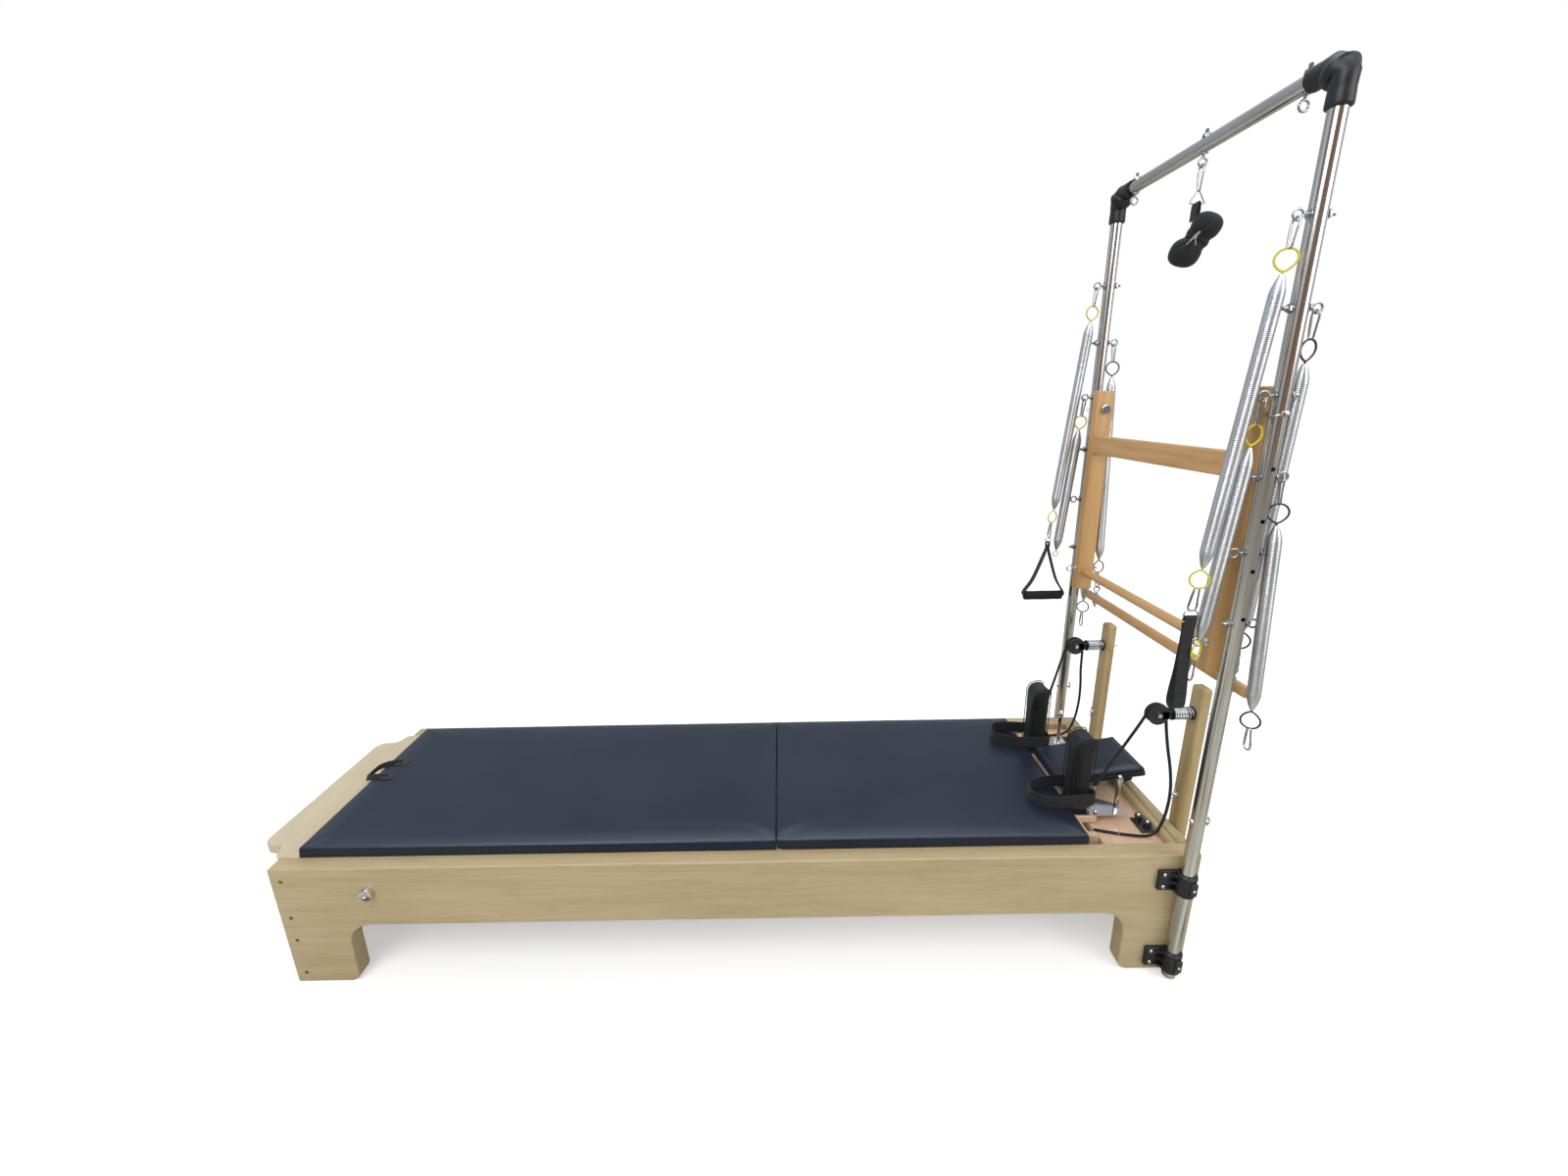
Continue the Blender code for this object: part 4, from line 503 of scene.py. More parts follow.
def lathe(profile, place, axis=Z, sides=32, closed=False):
    """Turn a profile round an axis. It is a flat run of radius and height."""
    matrix = Matrix.Translation(Vector(place)) @ turn_to(axis)
    rings = []
    for radius, height in mm(*profile):
        spots = circle(radius, sides) if radius > 1e-7 else [(0, 0)]
        rings.append([bm.verts.new(matrix @ Vector((x, y, height))) for x, y in spots])
    for lower, upper in list(zip(rings, rings[1:])) + ([(rings[-1], rings[0])] if closed else []):
        for i in range(sides):
            j = (i + 1) % sides
            corners = [lower[i % len(lower)], lower[j % len(lower)], upper[j % len(upper)], upper[i % len(upper)]]
            corners = list(dict.fromkeys(corners))
            if len(corners) > 2:
                bm.faces.new(corners)
    if not closed:
        for ring in (rings[0], rings[-1]):
            if len(ring) > 1:
                bm.faces.new(ring)


def disc(radius, low, high, place, axis, sides):
    lathe((0, low, radius, low, radius, high, 0, high), place, axis, sides)


def torus(centre, axis, radius, wire, sides=28, around=10):
    turn = turn_to(axis)
    points = [Vector(centre) + turn @ Vector((x, y, 0)) for x, y in circle(radius / 1000, sides)]
    tube(points, wire, around, closed=True)


def to_mesh(name, part):
    mesh = bpy.data.meshes.new(name)
    part.to_mesh(mesh)
    part.free()
    return mesh


def merge(part):
    mesh = to_mesh("work", part)
    bm.from_mesh(mesh)
    bpy.data.meshes.remove(mesh)


def round_edges(part, edges, width, segments):
    bmesh.ops.bevel(part, geom=edges, offset=width / 1000, segments=segments, affect='EDGES', profile=0.5)


def block(place, spans, width, segments=3):
    """A box with rounded edges. Its spans from the place are x and x, y and y, z and z."""
    part = bmesh.new()
    bmesh.ops.create_cube(part, size=1.0)
    pairs = [sorted(spans[i:i + 2]) for i in (0, 2, 4)]
    for vert in part.verts:
        vert.co = [p + (l + (h - l) * (c + 0.5)) / 1000 for p, (l, h), c in zip(place, pairs, vert.co)]
    round_edges(part, part.edges[:], width, segments)
    merge(part)


def prism(outline, axis, start, end, width, segments=2, angle=30):
    """Extrude an outline of two coordinates along the third axis, with rounded edges."""
    along = "XYZ".index(axis)
    part = bmesh.new()
    verts = []
    for pair in outline:
        co = list(pair)
        co.insert(along, start)
        verts.append(part.verts.new(co))
    out = bmesh.ops.extrude_face_region(part, geom=[part.faces.new(verts)])
    step = Vector([end - start if i == along else 0.0 for i in range(3)])
    bmesh.ops.translate(part, vec=step, verts=[g for g in out["geom"] if isinstance(g, bmesh.types.BMVert)])
    bmesh.ops.recalc_face_normals(part, faces=part.faces)
    round_edges(part, [e for e in part.edges if e.calc_face_angle(0) > radians(angle)], width, segments)
    merge(part)


def hexagon(centre, axis, radius, thick):
    """A hexagon nut with its corners turned off."""
    t, corner = thick / 2, 0.8
    lathe((radius * 0.86, -t, radius, corner - t, radius, t - corner, radius * 0.86, t), centre, axis, 6)


def eye_bolt(seat, direction, through):
    """An eye with its collar and shaft, washers, a nut and its ridged tail."""
    direction, seat = Vector(direction), Vector(seat)
    reach, eye_radius, wire = 20, 9.5, 2.5
    torus(seat + direction * reach / 1000, Y, eye_radius, wire)
    neck = reach - eye_radius
    lathe((0, 0, 4.2, 0, 3.4, neck * 0.6, 2.6, neck, 0, neck), seat, direction, 16)
    disc(9.2, 0, 1.2, seat, direction, 24)
    back = seat - direction * through
    disc(9.2, 0, 1.2, back - direction * 0.0012, direction, 24)
    hexagon(back - direction * (NUT_THICK / 2 + 0.0005), direction, 8.5, NUT_THICK * 1000)
    length, turns = 17, 13
    ridges = [n for i in range(turns) for n in (3.4, length * i / turns, 4.0, length * (i + 0.5) / turns)]
    lathe((0, 0, *ridges, 3.0, length, 0, length), back, -direction, 14)


def evaluated(obj):
    return obj.evaluated_get(bpy.context.evaluated_depsgraph_get())


def baked(obj):
    """A mesh of an object as its modifiers leave it. They are cleared."""
    mesh = bpy.data.meshes.new_from_object(evaluated(obj))
    obj.modifiers.clear()
    return mesh


def make(name, look, body="frame", *nodes, angle=40):
    """Turn the drawing into a piece that rides on a body, and start the next drawing."""
    global bm
    bmesh.ops.recalc_face_normals(bm, faces=bm.faces)
    mesh = to_mesh(name, bm)
    bm = bmesh.new()
    mesh.transform(Matrix.Translation(SHIFT))
    mesh.materials.append(mats[look])
    smooth(mesh, angle)
    obj = link(name, mesh)
    if body:
        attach(obj, body)
    if nodes:
        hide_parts(*nodes)
    return obj


def smooth(mesh, angle):
    mesh.shade_smooth()
    mesh.set_sharp_from_angle(angle=radians(angle))


def mirror():
    bmesh.ops.scale(bm, vec=(1, -1, 1), verts=bm.verts)
    bmesh.ops.reverse_faces(bm, faces=bm.faces)


# ---------------- tower

def both_sides(build):
    """Let a builder of one side's pieces build those of the near and the far side."""
    def build_both():
        for name, side in SIDES.items():
            build(name, side)
    return build_both


@both_sides
def build_uprights(name, side):
    global bm
    y, radius = side * TOWER_Y, TUBE_RADIUS * 1000
    wall, top = 1.8, (TOP_BAR_Z - ELBOW_RADIUS - ELBOW_LEG + 0.018) * 1000
    lathe((radius, 4, radius, top, radius - wall, top, radius - wall, 4), (TOWER_X, y, 0), sides=56, closed=True)
    upright = make("upright_tube_" + name, "steel", "frame", "upright_" + name, angle=50)
    for i in range(4):
        disc(4.8, -30, 30, Vector((TOWER_X, y, PIVOT_Z - PIVOT_PITCH * (i + 1))) + SHIFT, Y, 20)
    bmesh.ops.recalc_face_normals(bm, faces=bm.faces)
    tool = link("cutters", to_mesh("cutters", bm))
    bm = bmesh.new()
    holes = upright.modifiers.new("holes", 'BOOLEAN')
    holes.object, holes.solver = tool, 'EXACT'
    upright.data = baked(upright)
    smooth(upright.data, 50)
    bpy.data.objects.remove(tool, do_unlink=True)

    for i in range(6):
        out = -1 if i % 2 == 0 else 1
        eye_bolt((TOWER_X + out * TUBE_RADIUS, y, EYE_TOP_Z - EYE_PITCH * i), (out, 0, 0), 2 * TUBE_RADIUS)
    make("upright_eyes_" + name, "zinc")

    toward = Vector((0, -side, 0))
    pivot = Vector((TOWER_X, y, PIVOT_Z))
    face = Vector((TOWER_X, side * ARM_INNER_Y, PIVOT_Z))
    tube([pivot + toward * (TUBE_RADIUS - 0.002), face + toward * 0.002], 4.5, 16)
    lathe((0, 0, 12.5, 0, 12.5, 1.5, 5.5, 2, 5.5, 3.4, 8.5, 4.2, 12.5, 6.2, 13.8, 8.5, 12, 10.3, 0, 10.3),
          face + toward * GAP, toward)
    lathe((0, -4, 7.2, -4, 6.6, 4, 0, 5.5), pivot - toward * (TUBE_RADIUS + 0.002), -toward, 6)
    head = pivot - toward * (TUBE_RADIUS + 0.005)
    wire_loop = []
    for i in range(26):
        a = radians(90 + 18 + (360 - 36) * i / 25)
        drop = -0.013 * (1 - cos(a - pi / 2)) / 2
        wire_loop.append(pivot + Vector((0.0215 * cos(a), side * 0.0215 * sin(a), drop)))
    tube([head, *wire_loop, head], 1.2, 8)
    make("pivot_knob_" + name, "chrome")

    # a bolt with a wing head low on the upright, at the side away from the bed
    seat = Vector((TOWER_X + TUBE_RADIUS - 0.0005, y, 0.483))
    lathe((0, 0, 6.8, 0, 6.8, 3, 3.6, 3.6, 3.6, 11, 0, 11), seat, X, 24)
    tube(steps_from(seat, 9, 0, -12, 11, 0, 0, 9, 0, 12), [2.2, 3.4, 2.2])
    lathe((0, 0, 6.8, 0, 5.2, 3.2, 0, 4), (TOWER_X - TUBE_RADIUS + 0.0005, y, 0.483), -X, 6)
    make("upright_bolt_" + name, "chrome")


def build_top_bar():
    half = (TOWER_Y - ELBOW_RADIUS - ELBOW_LEG + 0.018) * 1000
    disc(TUBE_RADIUS * 1000, -half, half, (TOWER_X, 0, TOP_BAR_Z), Y, 56)
    make("top_tube", "steel_y", "frame", "top_bar", angle=50)
    for y in (-0.29, 0.0, 0.29):
        eye_bolt((TOWER_X, y, TOP_BAR_Z - TUBE_RADIUS), -Z, 2 * TUBE_RADIUS)
    make("top_eyes", "zinc")


@both_sides
def build_elbows(name, side):
    bend, leg = ELBOW_RADIUS, ELBOW_RADIUS + ELBOW_LEG
    y, z = bend - TOWER_Y, TOP_BAR_Z - bend
    route = [(y - bend, TOP_BAR_Z - leg + 0.0185), (y - bend, z - 0.016)]
    for i, (first, second) in enumerate(arc((y, z), bend, 180, 90, 12)):
        inward = 0.006 * sin(pi * i / 12)
        route.append((first + inward, second - inward))
    route += [(y + 0.016, TOP_BAR_Z), (leg - TOWER_Y - 0.0185, TOP_BAR_Z)]
    stout = [20.6, 21.2, *[22.2 + 7.8 * sin(pi * i / 12) for i in range(13)], 21.2, 20.6]
    tube(standing((TOWER_X, 0, 0), route, Y), stout, 40)
    collar = (16.4, -20, 20.5, -20, 21.6, -18.5, 21.8, -15, 21.4, 0, 20.6, 12, 20.2, 16, 16.4, 16)
    lathe(collar, (TOWER_X, -TOWER_Y, TOP_BAR_Z - leg + 0.02), sides=48, closed=True)
    lathe(collar, (TOWER_X, leg - TOWER_Y - 0.02, TOP_BAR_Z), -Y, 48, closed=True)
    for place in ((TOWER_X - 0.0205, -TOWER_Y, z - 0.03), (TOWER_X - 0.0205, y + 0.03, TOP_BAR_Z)):
        lathe((0, -2, 4.5, -2, 4.5, 0.6, 3, 0.6, 2.8, -0.6, 0, -0.6), place, -X, 20)
    if side > 0:
        mirror()
    make("elbow_sleeve_" + name, "black", "frame", "elbow_" + name)


def build_clamps():
    face = -FRAME_SIDE - GAP
    at = (TOWER_X, face)
    for (level, z), (name, side) in product((("upper", 0.297), ("lower", 0.052)), SIDES.items()):
        low, high = z - 0.03, z + 0.03
        lathe((16.5, 0, 21.5, 0, 23.3, 1.8, 23.5, 10, 22.6, 11.6, 22.6, 48.4, 23.5, 50, 23.3, 58.2, 21.5, 60, 16.5, 60),
              (TOWER_X, -TOWER_Y, low), sides=48, closed=True)
        for outline, width, segments in ((mm(-21.5, -15.7, -21.5, 0, -16.8, 0, -16.8, -15.7, at=at), 0.8, 2),
                                         (mm(21.5, -15.7, 21.5, 0, 16.8, 0, 16.8, -15.7, at=at), 0.8, 2),
                                         (mm(-63, -10.5, -63, 0, -18, 0, -18, -10.5, at=at), 2.2, 3)):
            prism(outline, "Z", low + 0.001, high - 0.001, width, segments)
        for rib in (low + 0.006, z - 0.0025, high - 0.011):
            prism(mm(-42, -9.8, -18, -25.7, -16, -4, at=at), "Z", rib, rib + 0.005, 0.8)
        block((TOWER_X, -TOWER_Y, z), (-4, 14, -26.5, -18, -18, 18), 2)
        if side > 0:
            mirror()
        make("clamp_body_%s_%s" % (level, name), "black", "frame", "clamp_%s_%s" % (level, name))
        for step in (-0.018, 0.018):
            lathe((0, -1, 5.5, -1, 5.5, 0.8, 4.2, 2.6, 1.6, 3.4, 1.2, 2, 0, 2),
                  (TOWER_X - 0.049, side * (0.0105 - face), z + step), Y * side, 24)
        lathe((0, -1, 4.5, -1, 4.5, 2, 3, 2.4, 2.8, 1, 0, 1), (TOWER_X + 0.005, side * (TOWER_Y + 0.0262), z),
              Y * side, 6)
        make("clamp_screws_%s_%s" % (level, name), "chrome")


# ---------------- tower springs

def hung(side, station, dx=0.0, dy=0.0):
    """The frame of what hangs from a station's eye and leans by the given slopes."""
    out = -1 if station % 2 == 0 else 1
    eye = Vector((TOWER_X + out * EYE_REACH, side * TOWER_Y, EYE_TOP_Z - EYE_PITCH * station))
    lean = (-Z).rotation_difference(Vector((dx, dy, -1))).to_matrix()
    return Matrix.Translation(eye) @ lean.to_4x4()


def turned(degrees):
    return Matrix.Rotation(radians(degrees), 4, 'Z')


CLIP_LENGTH = 58
CLIP_WIRE = 4.0
RING_CENTRE = 0.0755
ARM_LEAN = (-0.091, 0.0)
ROLL_LEAN = (0.022, -0.063)
RING_TURNS = {("roll", "near"): (48, 10), ("leg", "near"): (42, 66), ("arm", "far"): (30, 48), ("leg", "far"): (20, 30),
              ("roll", "far"): (10, 35), ("tower", "near"): (12, -8)}


def snap_clip(at, length=CLIP_LENGTH, half=11.2, down=1, wire=CLIP_WIRE):
    """A snap hook with its sprung gate and nose. Down is -1 for one upside down."""
    top, wide, foot = HOOK_TOP * 1000, half - wire / 2, half * 0.52

    def laid(pairs):
        return [at @ Vector((0.0, y / 1000, down * z / 1000)) for y, z in pairs]

    outline = arc((0, top - wide), wide, 180, 0, 8) + arc((0, top - length + wire + foot), foot, 0, -180, 6)
    tube(loop(laid(outline), 0.0028), wire / 2, 10, closed=True)
    gate = [(wide, top - wide - 2), (wide * 0.8, top - length * 0.55), (foot, top - length * 0.8)]
    tube(laid(gate), [wire * s for s in (0.62, 0.7, 0.6)], 10)
    tube(laid([(-wide, top - wide - 1), (-wide - 0.3, top - wide - 10)]), [wire * 0.55, wire * 0.65], 10)


def spring_coil(at, start, length, radius, pitch, cone, sides=26):
    """A tightly wound coil whose ends taper to the neck of its rings."""
    neck, groove = 0.004, 0.06
    count = round(length / pitch * 6)
    points, sizes = [], []
    for i in range(count + 1):
        share = i / count
        near = min(1.0, min(share, 1 - share) * length / cone)
        sizes.append(1000 * (neck + (radius - neck) * sin(near * pi / 2)))
        points.append(at @ (-Z * (start + length * share)))

    def wound(angle, run):
        across = 2 * ((run / pitch - angle / (2 * pi)) % 1.0) - 1
        return 1 - groove * (1 - sqrt(max(0.0, 1 - across * across)))

    tube(points, sizes, sides, shape=wound)


def end_ring(at, centre, neck_end, radius=0.0185, wire=4.2):
    """The ring in which the spring's wire ends, with its neck running into the coil."""
    down = 1 if neck_end > centre else -1
    points = []
    for c, s in circle(1.0, 44):
        drawn = 1 + 0.2 * max(0.0, -down * c) ** 7
        points.append(at @ Vector((0.0, radius * s, -centre + radius * drawn * c)))
    tube(points, wire / 2, closed=True)
    start = centre + down * (radius * 1.2 - wire * 0.0001)
    tube([at @ (-Z * start), at @ (-Z * neck_end)], [wire * 0.52, wire * 0.4])


def build_springs():
    """Eight hanging springs: clip, coated ring, neck, tapered coil, neck, ring and clip."""
    plans = (("arm", 0, LONG_COIL, ARM_LEAN, "yellow"), ("roll", 1, LONG_COIL, ROLL_LEAN, "ring_black"),
             ("leg", 2, SHORT_COIL, (-0.08, 0), "yellow"), ("tower", 3, SHORT_COIL, (0.03, 0.05), "ring_black"))
    for (kind, station, coil, (dx, dy), coat), (name, side) in product(plans, SIDES.items()):
        at = hung(side, station, dx, dy * side)
        facing = 54 if side < 0 else 65
        upper, lower = [at @ turned(facing + turn) for turn in RING_TURNS.get((kind, name), (0, 0))]
        piece = "%s_spring_%s" % (kind, name)
        body = "roll_down" if kind == "roll" else piece
        clipped = (kind, name) == ("leg", "far")
        length = CLIPPED_COIL if clipped else coil
        foot = HOOK_LENGTH + length
        total = foot + (CLIPPED_HOOK if clipped else HOOK_LENGTH)

        spring_coil(at, HOOK_LENGTH - 0.012, length + 0.024 - (0.008 if clipped else 0), 0.0138, 0.0034, 0.04)
        make(piece + "_coil", "coil", body, piece, angle=60)

        end_ring(upper, RING_CENTRE, HOOK_LENGTH + 0.006)
        if clipped:
            end_ring(lower, total - 0.0105, foot - 0.008, 0.0085, 3.6)
        else:
            end_ring(lower, total - RING_CENTRE, foot - 0.006)
        make(piece + "_rings", coat, body)

        slim = kind == "tower"
        snap_clip(at, half=6.0 if slim else 11.2, wire=2.6 if slim else CLIP_WIRE)
        if not clipped:
            crossed = (kind, name) == ("arm", "near")
            snap_clip(at @ Matrix.Translation(-Z * total) @ turned(90 if crossed else 0), down=-1)
        make(piece + "_clips", "zinc", body)


# ---------------- push frame and roll-down bar

@both_sides
def build_push_arms(name, side):
    block((TOWER_X, side * ARM_INNER_Y, 0), (-26, 26, 0, side * 34, 870, 1510), 4.2, 4)
    make("push_arm_wood_" + name, "honey_z", "push_frame", "push_arm_" + name)
    middle = side * (ARM_INNER_Y + ARM_OUTER_Y) / 2
    eye_bolt((TOWER_X - ARM_WIDTH / 2, middle, ARM_EYE_Z), -X, ARM_WIDTH)
    make("push_arm_eye_" + name, "chrome", "push_frame")


def build_bars():
    """The push frame's dowel and the roll-down bar."""
    half = (ARM_INNER_Y - GAP) * 1000
    disc(13, -half, half, (TOWER_X, 0, DOWEL_Z), Y, 40)
    make("push_dowel_wood", "honey_y", "push_frame", "push_dowel")

    ends = [hung(side, 1, ROLL_LEAN[0], ROLL_LEAN[1] * side) @ (-Z * (2 * HOOK_LENGTH + LONG_COIL))
            for side in (-1, 1)]
    seat_z = ends[0].z - 0.02
    lathe((0, -380, 10, -380, 12.8, -378.8, 14, -376, 14, 376, 12.8, 378.8, 10, 380, 0, 380),
          (ends[0].x, 0, seat_z - 0.014), Y, 44)
    make("roll_bar_wood", "honey_y", "roll_down", "roll_down_bar")
    for end in ends:
        eye_bolt((end.x, end.y, seat_z), Z, 0.028)
    make("roll_bar_eyes", "chrome", "roll_down")


# ---------------- strap, hand loop and cuff

def arm_spring_end(side):
    return hung(side, 0, *ARM_LEAN) @ (-Z * (2 * HOOK_LENGTH + LONG_COIL + HOOK_TOP))


def bent_wire(place, *outline):
    """A closed ring of wire in the plane of X and Z."""
    tube(loop(standing(place, mm(*outline)), 0.003), 1.6, 10, closed=True)


def build_arm_strap():
    """A strap on a D ring: a doubled length of webbing, sewn under the ring, open as a loop below."""
    top = arm_spring_end(-1)
    bent_wire(top, -15, -16, 15, -16, 14.8, -6, 10, 1, 0, 3.6, -10, 1, -14.8, -6)
    make("arm_strap_ring", "chrome", "arm_spring_near")
    route = mm(4, -24, 4.2, -16, 2.8, -11.8, 0, -10.8, -2.8, -11.8, -4.2, -16, -3.4, -28, -1.9, -46, -1.9, -71,
               -3.4, -101, -6.6, -146, -13, -201, -12, -228, 0, -236.5, 12, -226, 12, -196, 6.2, -146, 3.4, -101,
               1.9, -71, 1.9, -46, 3.4, -28)
    band(spread(standing(top, route, Y), 0.004), X, 0.0275, 0.0026)
    make("arm_strap_web", "webbing", "arm_spring_near", "arm_strap")


def build_hand_loop():
    top = arm_spring_end(1)
    torus(top - Z * 0.0065, Y, 8.8, 1.5)
    make("hand_loop_ring", "chrome", "arm_spring_far")
    half = mm(0, -11.8, 4, -12.8, 5.2, -20, 4, -38, 15, -75, 40, -145, 65, -185.5, 68.8, -197.5, 66, -203, 57, -203.5)
    points = spread(standing(top, [(-x, z) for x, z in reversed(half)] + half[1:]), 0.004)
    last = len(points) - 1
    pinch = [min(1.0, 0.42 + 2.6 * abs(i / last - 0.5) * 2) for i in range(last + 1)]
    band(points, Y, 0.0245, 0.0026, pinch=pinch)
    block(top, (-5.2, 5.2, -8.5, 8.5, -44, -30), 1.5, 2)
    make("hand_loop_web", "webbing", "arm_spring_far", "hand_loop")
    lathe((0, -65, 11.5, -65, 14.5, -63.5, 15.4, -60, 15, -32.5, 15.6, 0, 15, 32.5, 15.4, 60, 14.5, 63.5, 11.5, 65,
           0, 65), top - Z * 0.2035, X, 36)
    make("hand_loop_grip", "foam", "arm_spring_far")


def build_cuff():
    """A padded cuff rolled from both ends, on a triangular ring and a snap hook, held by a clear tie."""
    eye = Vector((TOWER_X, 0.0, TOP_BAR_Z - EYE_REACH))
    snap_clip(Matrix.Translation(eye), 60)
    bent_wire(eye, -17, -86, 17, -86, 15, -80, 3, -60, 0, -58.5, -3, -60, -15, -80)
    make("cuff_hook", "zinc", "cuff")
    right, ahead = Vector((0.79, -0.61, 0.0)), Vector((0.61, 0.79, 0.0))
    for across, low, wide, tall, deep, tilt in ((0.027, -0.138, 0.033, 0.0285, 0.024, 28),
                                                (-0.01, -0.192, 0.035, 0.032, 0.0255, 20),
                                                (0.012, -0.162, 0.02, 0.03, 0.019, -35)):
        ball = bmesh.new()
        bmesh.ops.create_uvsphere(ball, u_segments=40, v_segments=24, radius=1.0)
        spin = Matrix.Rotation(radians(tilt), 3, 'Y')
        for vert in ball.verts:
            boxy = Vector([copysign(abs(c) ** 0.82, c) for c in vert.co])
            flat = spin @ Vector((boxy.x * wide, boxy.y * deep, boxy.z * tall))
            vert.co = eye + right * (across + flat.x) + ahead * flat.y + Z * (low + flat.z)
        merge(ball)
    soften(0.003, 1.0, (TOWER_X - 0.06, -0.06, 1.0), (TOWER_X + 0.08, 0.06, 2.0), 2.2, voxel=0.003, pressure=2.0)
    tied = eye + right * 0.01 - Z * 0.163
    for vert in bm.verts:
        off = vert.co - tied
        flat = Vector((off.dot(right), off.z))
        reach = flat.length
        crease = cos(11 * atan2(flat.y, flat.x)) * min(1.0, reach / 0.012) * max(0.0, 1 - reach / 0.052)
        vert.co += (ahead * (-0.0022 if off.dot(ahead) < 0 else 0.0022)) * crease
    rolls = make("cuff_padding", "cuff", "cuff", "ankle_cuff", angle=70)
    hanger = mm(-3.5, -124, -3.5, -100, -3, -88, 0, -83.8, 3, -88, 3.5, -100, 3.5, -116)
    band(standing(eye, hanger), Y, 0.0245, 0.003)
    make("cuff_strap", "webbing", "cuff")
    along = (right * 0.72 + Z * 0.69).normalized()
    points = [tied + along * 0.0235 * c + ahead * 0.0225 * s for c, s in circle(1.0, 44)]
    tube(points, 1.1, 8, closed=True)
    tube([p + Vector((-0.0012, 0, 0.003)) for p in points], 1.1, 8, closed=True)
    knot = tied - ahead * 0.0225
    torus(knot, (0.6, 0.8, 0.2), 3.0, 1.1, 14, 8)
    for dx, dz in ((-0.016, -0.016), (0.004, -0.02)):
        tail = right * dx + Z * dz
        tube([knot, knot + tail * 0.4 - ahead * 0.004, knot + tail - ahead * 0.005], 1.0, 8)
    make("cuff_tie", "tie", "cuff")


# ---------------- risers, pulleys, cleats and ropes

@both_sides
def build_risers(name, side):
    y = side * RISER_Y
    block((RISER_X, y, 0), (0, 30, -22, 22, 126.5, 775), 8.5, 5)
    make("riser_wood_" + name, "post", "frame", "riser_" + name)
    seat = (RISER_X, y, 0.455)
    lathe((0, -1, 8, -1, 8, 1.2, 5.8, 2, 5.2, 10, 4, 12, 0, 12), seat, -X, 24)
    for wing in (-1, 1):
        tube(steps_from(seat, -4.5, 0, 4 * wing, -7.5, 0, 11 * wing, -10.5, 0, 16.5 * wing), [2.6, 3.4, 3.0])
    hexagon((RISER_X + 0.0325, y, 0.455), X, 7.5, 5)
    make("riser_knob_" + name, "chrome")


@both_sides
def build_pulleys(name, side):
    y, z, back = side * RISER_Y, PULLEY_Z, PULLEY_X + 0.034
    for s in (-1, 1):
        cheek = (PULLEY_X, y + s * 0.00705, z)
        lathe((0, 0, 26.2, 0, 27.5, 1, 27.5, 3.2, 26, 4.5, 10.5, 4.5, 9.5, 6.2, 0, 6.2), cheek, Y * s, 48)
        block(cheek, (0, 36, 0, s * 4.5, -11.8, 11.8), 1.2, 2)
    block((back, y, z), (-3.5, 3, -11.5, 11.5, -11.6, 11.6), 1.2, 2)
    make("pulley_yoke_" + name, "dark_metal", "frame", "pulley_block_" + name)
    for s in (-1, 1):
        hexagon((PULLEY_X, y + s * 0.0145, z), Y, 6.2, 3.4)
    tube([(back + 0.002, y, z), (RISER_X + 0.046, y, z)], 3.8, 16)
    hexagon((RISER_X + 0.0338, y, z), X, 8, 6.5)
    make("pulley_bolt_" + name, "chrome")
    for x in (back + 0.003, RISER_X - 0.003):
        lathe((3.9, -1.6, 17, -1.6, 17.6, -0.8, 17.6, 1.2, 16.8, 2, 3.9, 2), (x, y, z), X, 40, closed=True)
    make("pulley_washers_" + name, "black")
    start, end, steps, count = back + 0.0068, RISER_X - 0.0068, 26, 169
    turns = [2 * pi * i / steps for i in range(count + 1)]
    tube([(start + (end - start) * i / count, y + 0.015 * cos(a), z + 0.015 * sin(a)) for i, a in enumerate(turns)],
         1.7, 10)
    make("pulley_coil_" + name, "coil", "frame", "pulley_spring_" + name)
    lathe((4.5, -6, 10, -6, 11, -5, 18, -5, 23.8, -6, 24.5, -5.4, 24, -4.4, 20.5, -2.4, 19.7, 0, 20.5, 2.4, 24, 4.4,
           24.5, 5.4, 23.8, 6, 18, 5, 11, 5, 10, 6, 4.5, 6), (PULLEY_X, y, z), Y, 56, closed=True)
    make("sheave_wheel_" + name, "black", "sheave_" + name, "sheave_" + name)


@both_sides
def build_cleats(name, side):
    x, y, z = 1.128, side * 0.215, DECK_TOP + GAP
    block((x, y, z), (-18, 16, -30, 30, 0, 5), 1.8)
    rollers = [Vector((x + dx, y - side * dy, z + 0.004)) for dx, dy in ((-0.004, 0.016), (0.004, -0.014))]
    for place in rollers:
        lathe((0, 0, 10.2, 0, 10.5, 1.2, 8.8, 4, 8.2, 8.5, 9, 13, 10.5, 16.5, 10.2, 19, 8.6, 20.2, 0, 20.2), place,
              sides=40)
    make("cleat_body_" + name, "black", "frame", "cleat_" + name)
    for place in rollers:
        lathe((0, 0, 4.8, 0, 4.6, 1.8, 3, 3.2, 1, 3.8, 0, 3.8), place + Z * 0.02, sides=24)
    make("cleat_screws_" + name, "chrome")


def rope_points(side):
    """The rope's route: its tail on the deck, past the cleat, up, over the sheave and down to the strap."""
    over = [Vector((x, RISER_Y, z)) for x, z in arc((PULLEY_X, PULLEY_Z), 0.0252, -8, 160, 7)]
    tail = steps_from((0, 0, DECK_TOP + ROPE_DIAMETER / 2 + GAP), 985, 232, 0, 1010, 240, 0, 1040, 249, 0,
                      1075, 257, 0, 1108, 262, 1, 1132, 263, 9)
    rising = steps_from((0, 0, 0), 1147, 262, 388, 1156, 260, 430, 1159, 257, 485, 1154, 250, 545, 1143, 240, 610,
                        1136.5, 231, 665)
    falling = steps_from((0, 0, 0), 1073, 226, 675, 1048, 212, 600, 1026, 199, 535, 1011, 186, 480, 1005, 172, 447.5)
    spacing = 2.9 * ROPE_DIAMETER
    points = spread([*tail, *rising, over[0]], spacing)[:-1] + over + spread([over[-1], *falling], spacing)[1:]
    return [Vector((p.x, p.y * side, p.z)) for p in points]


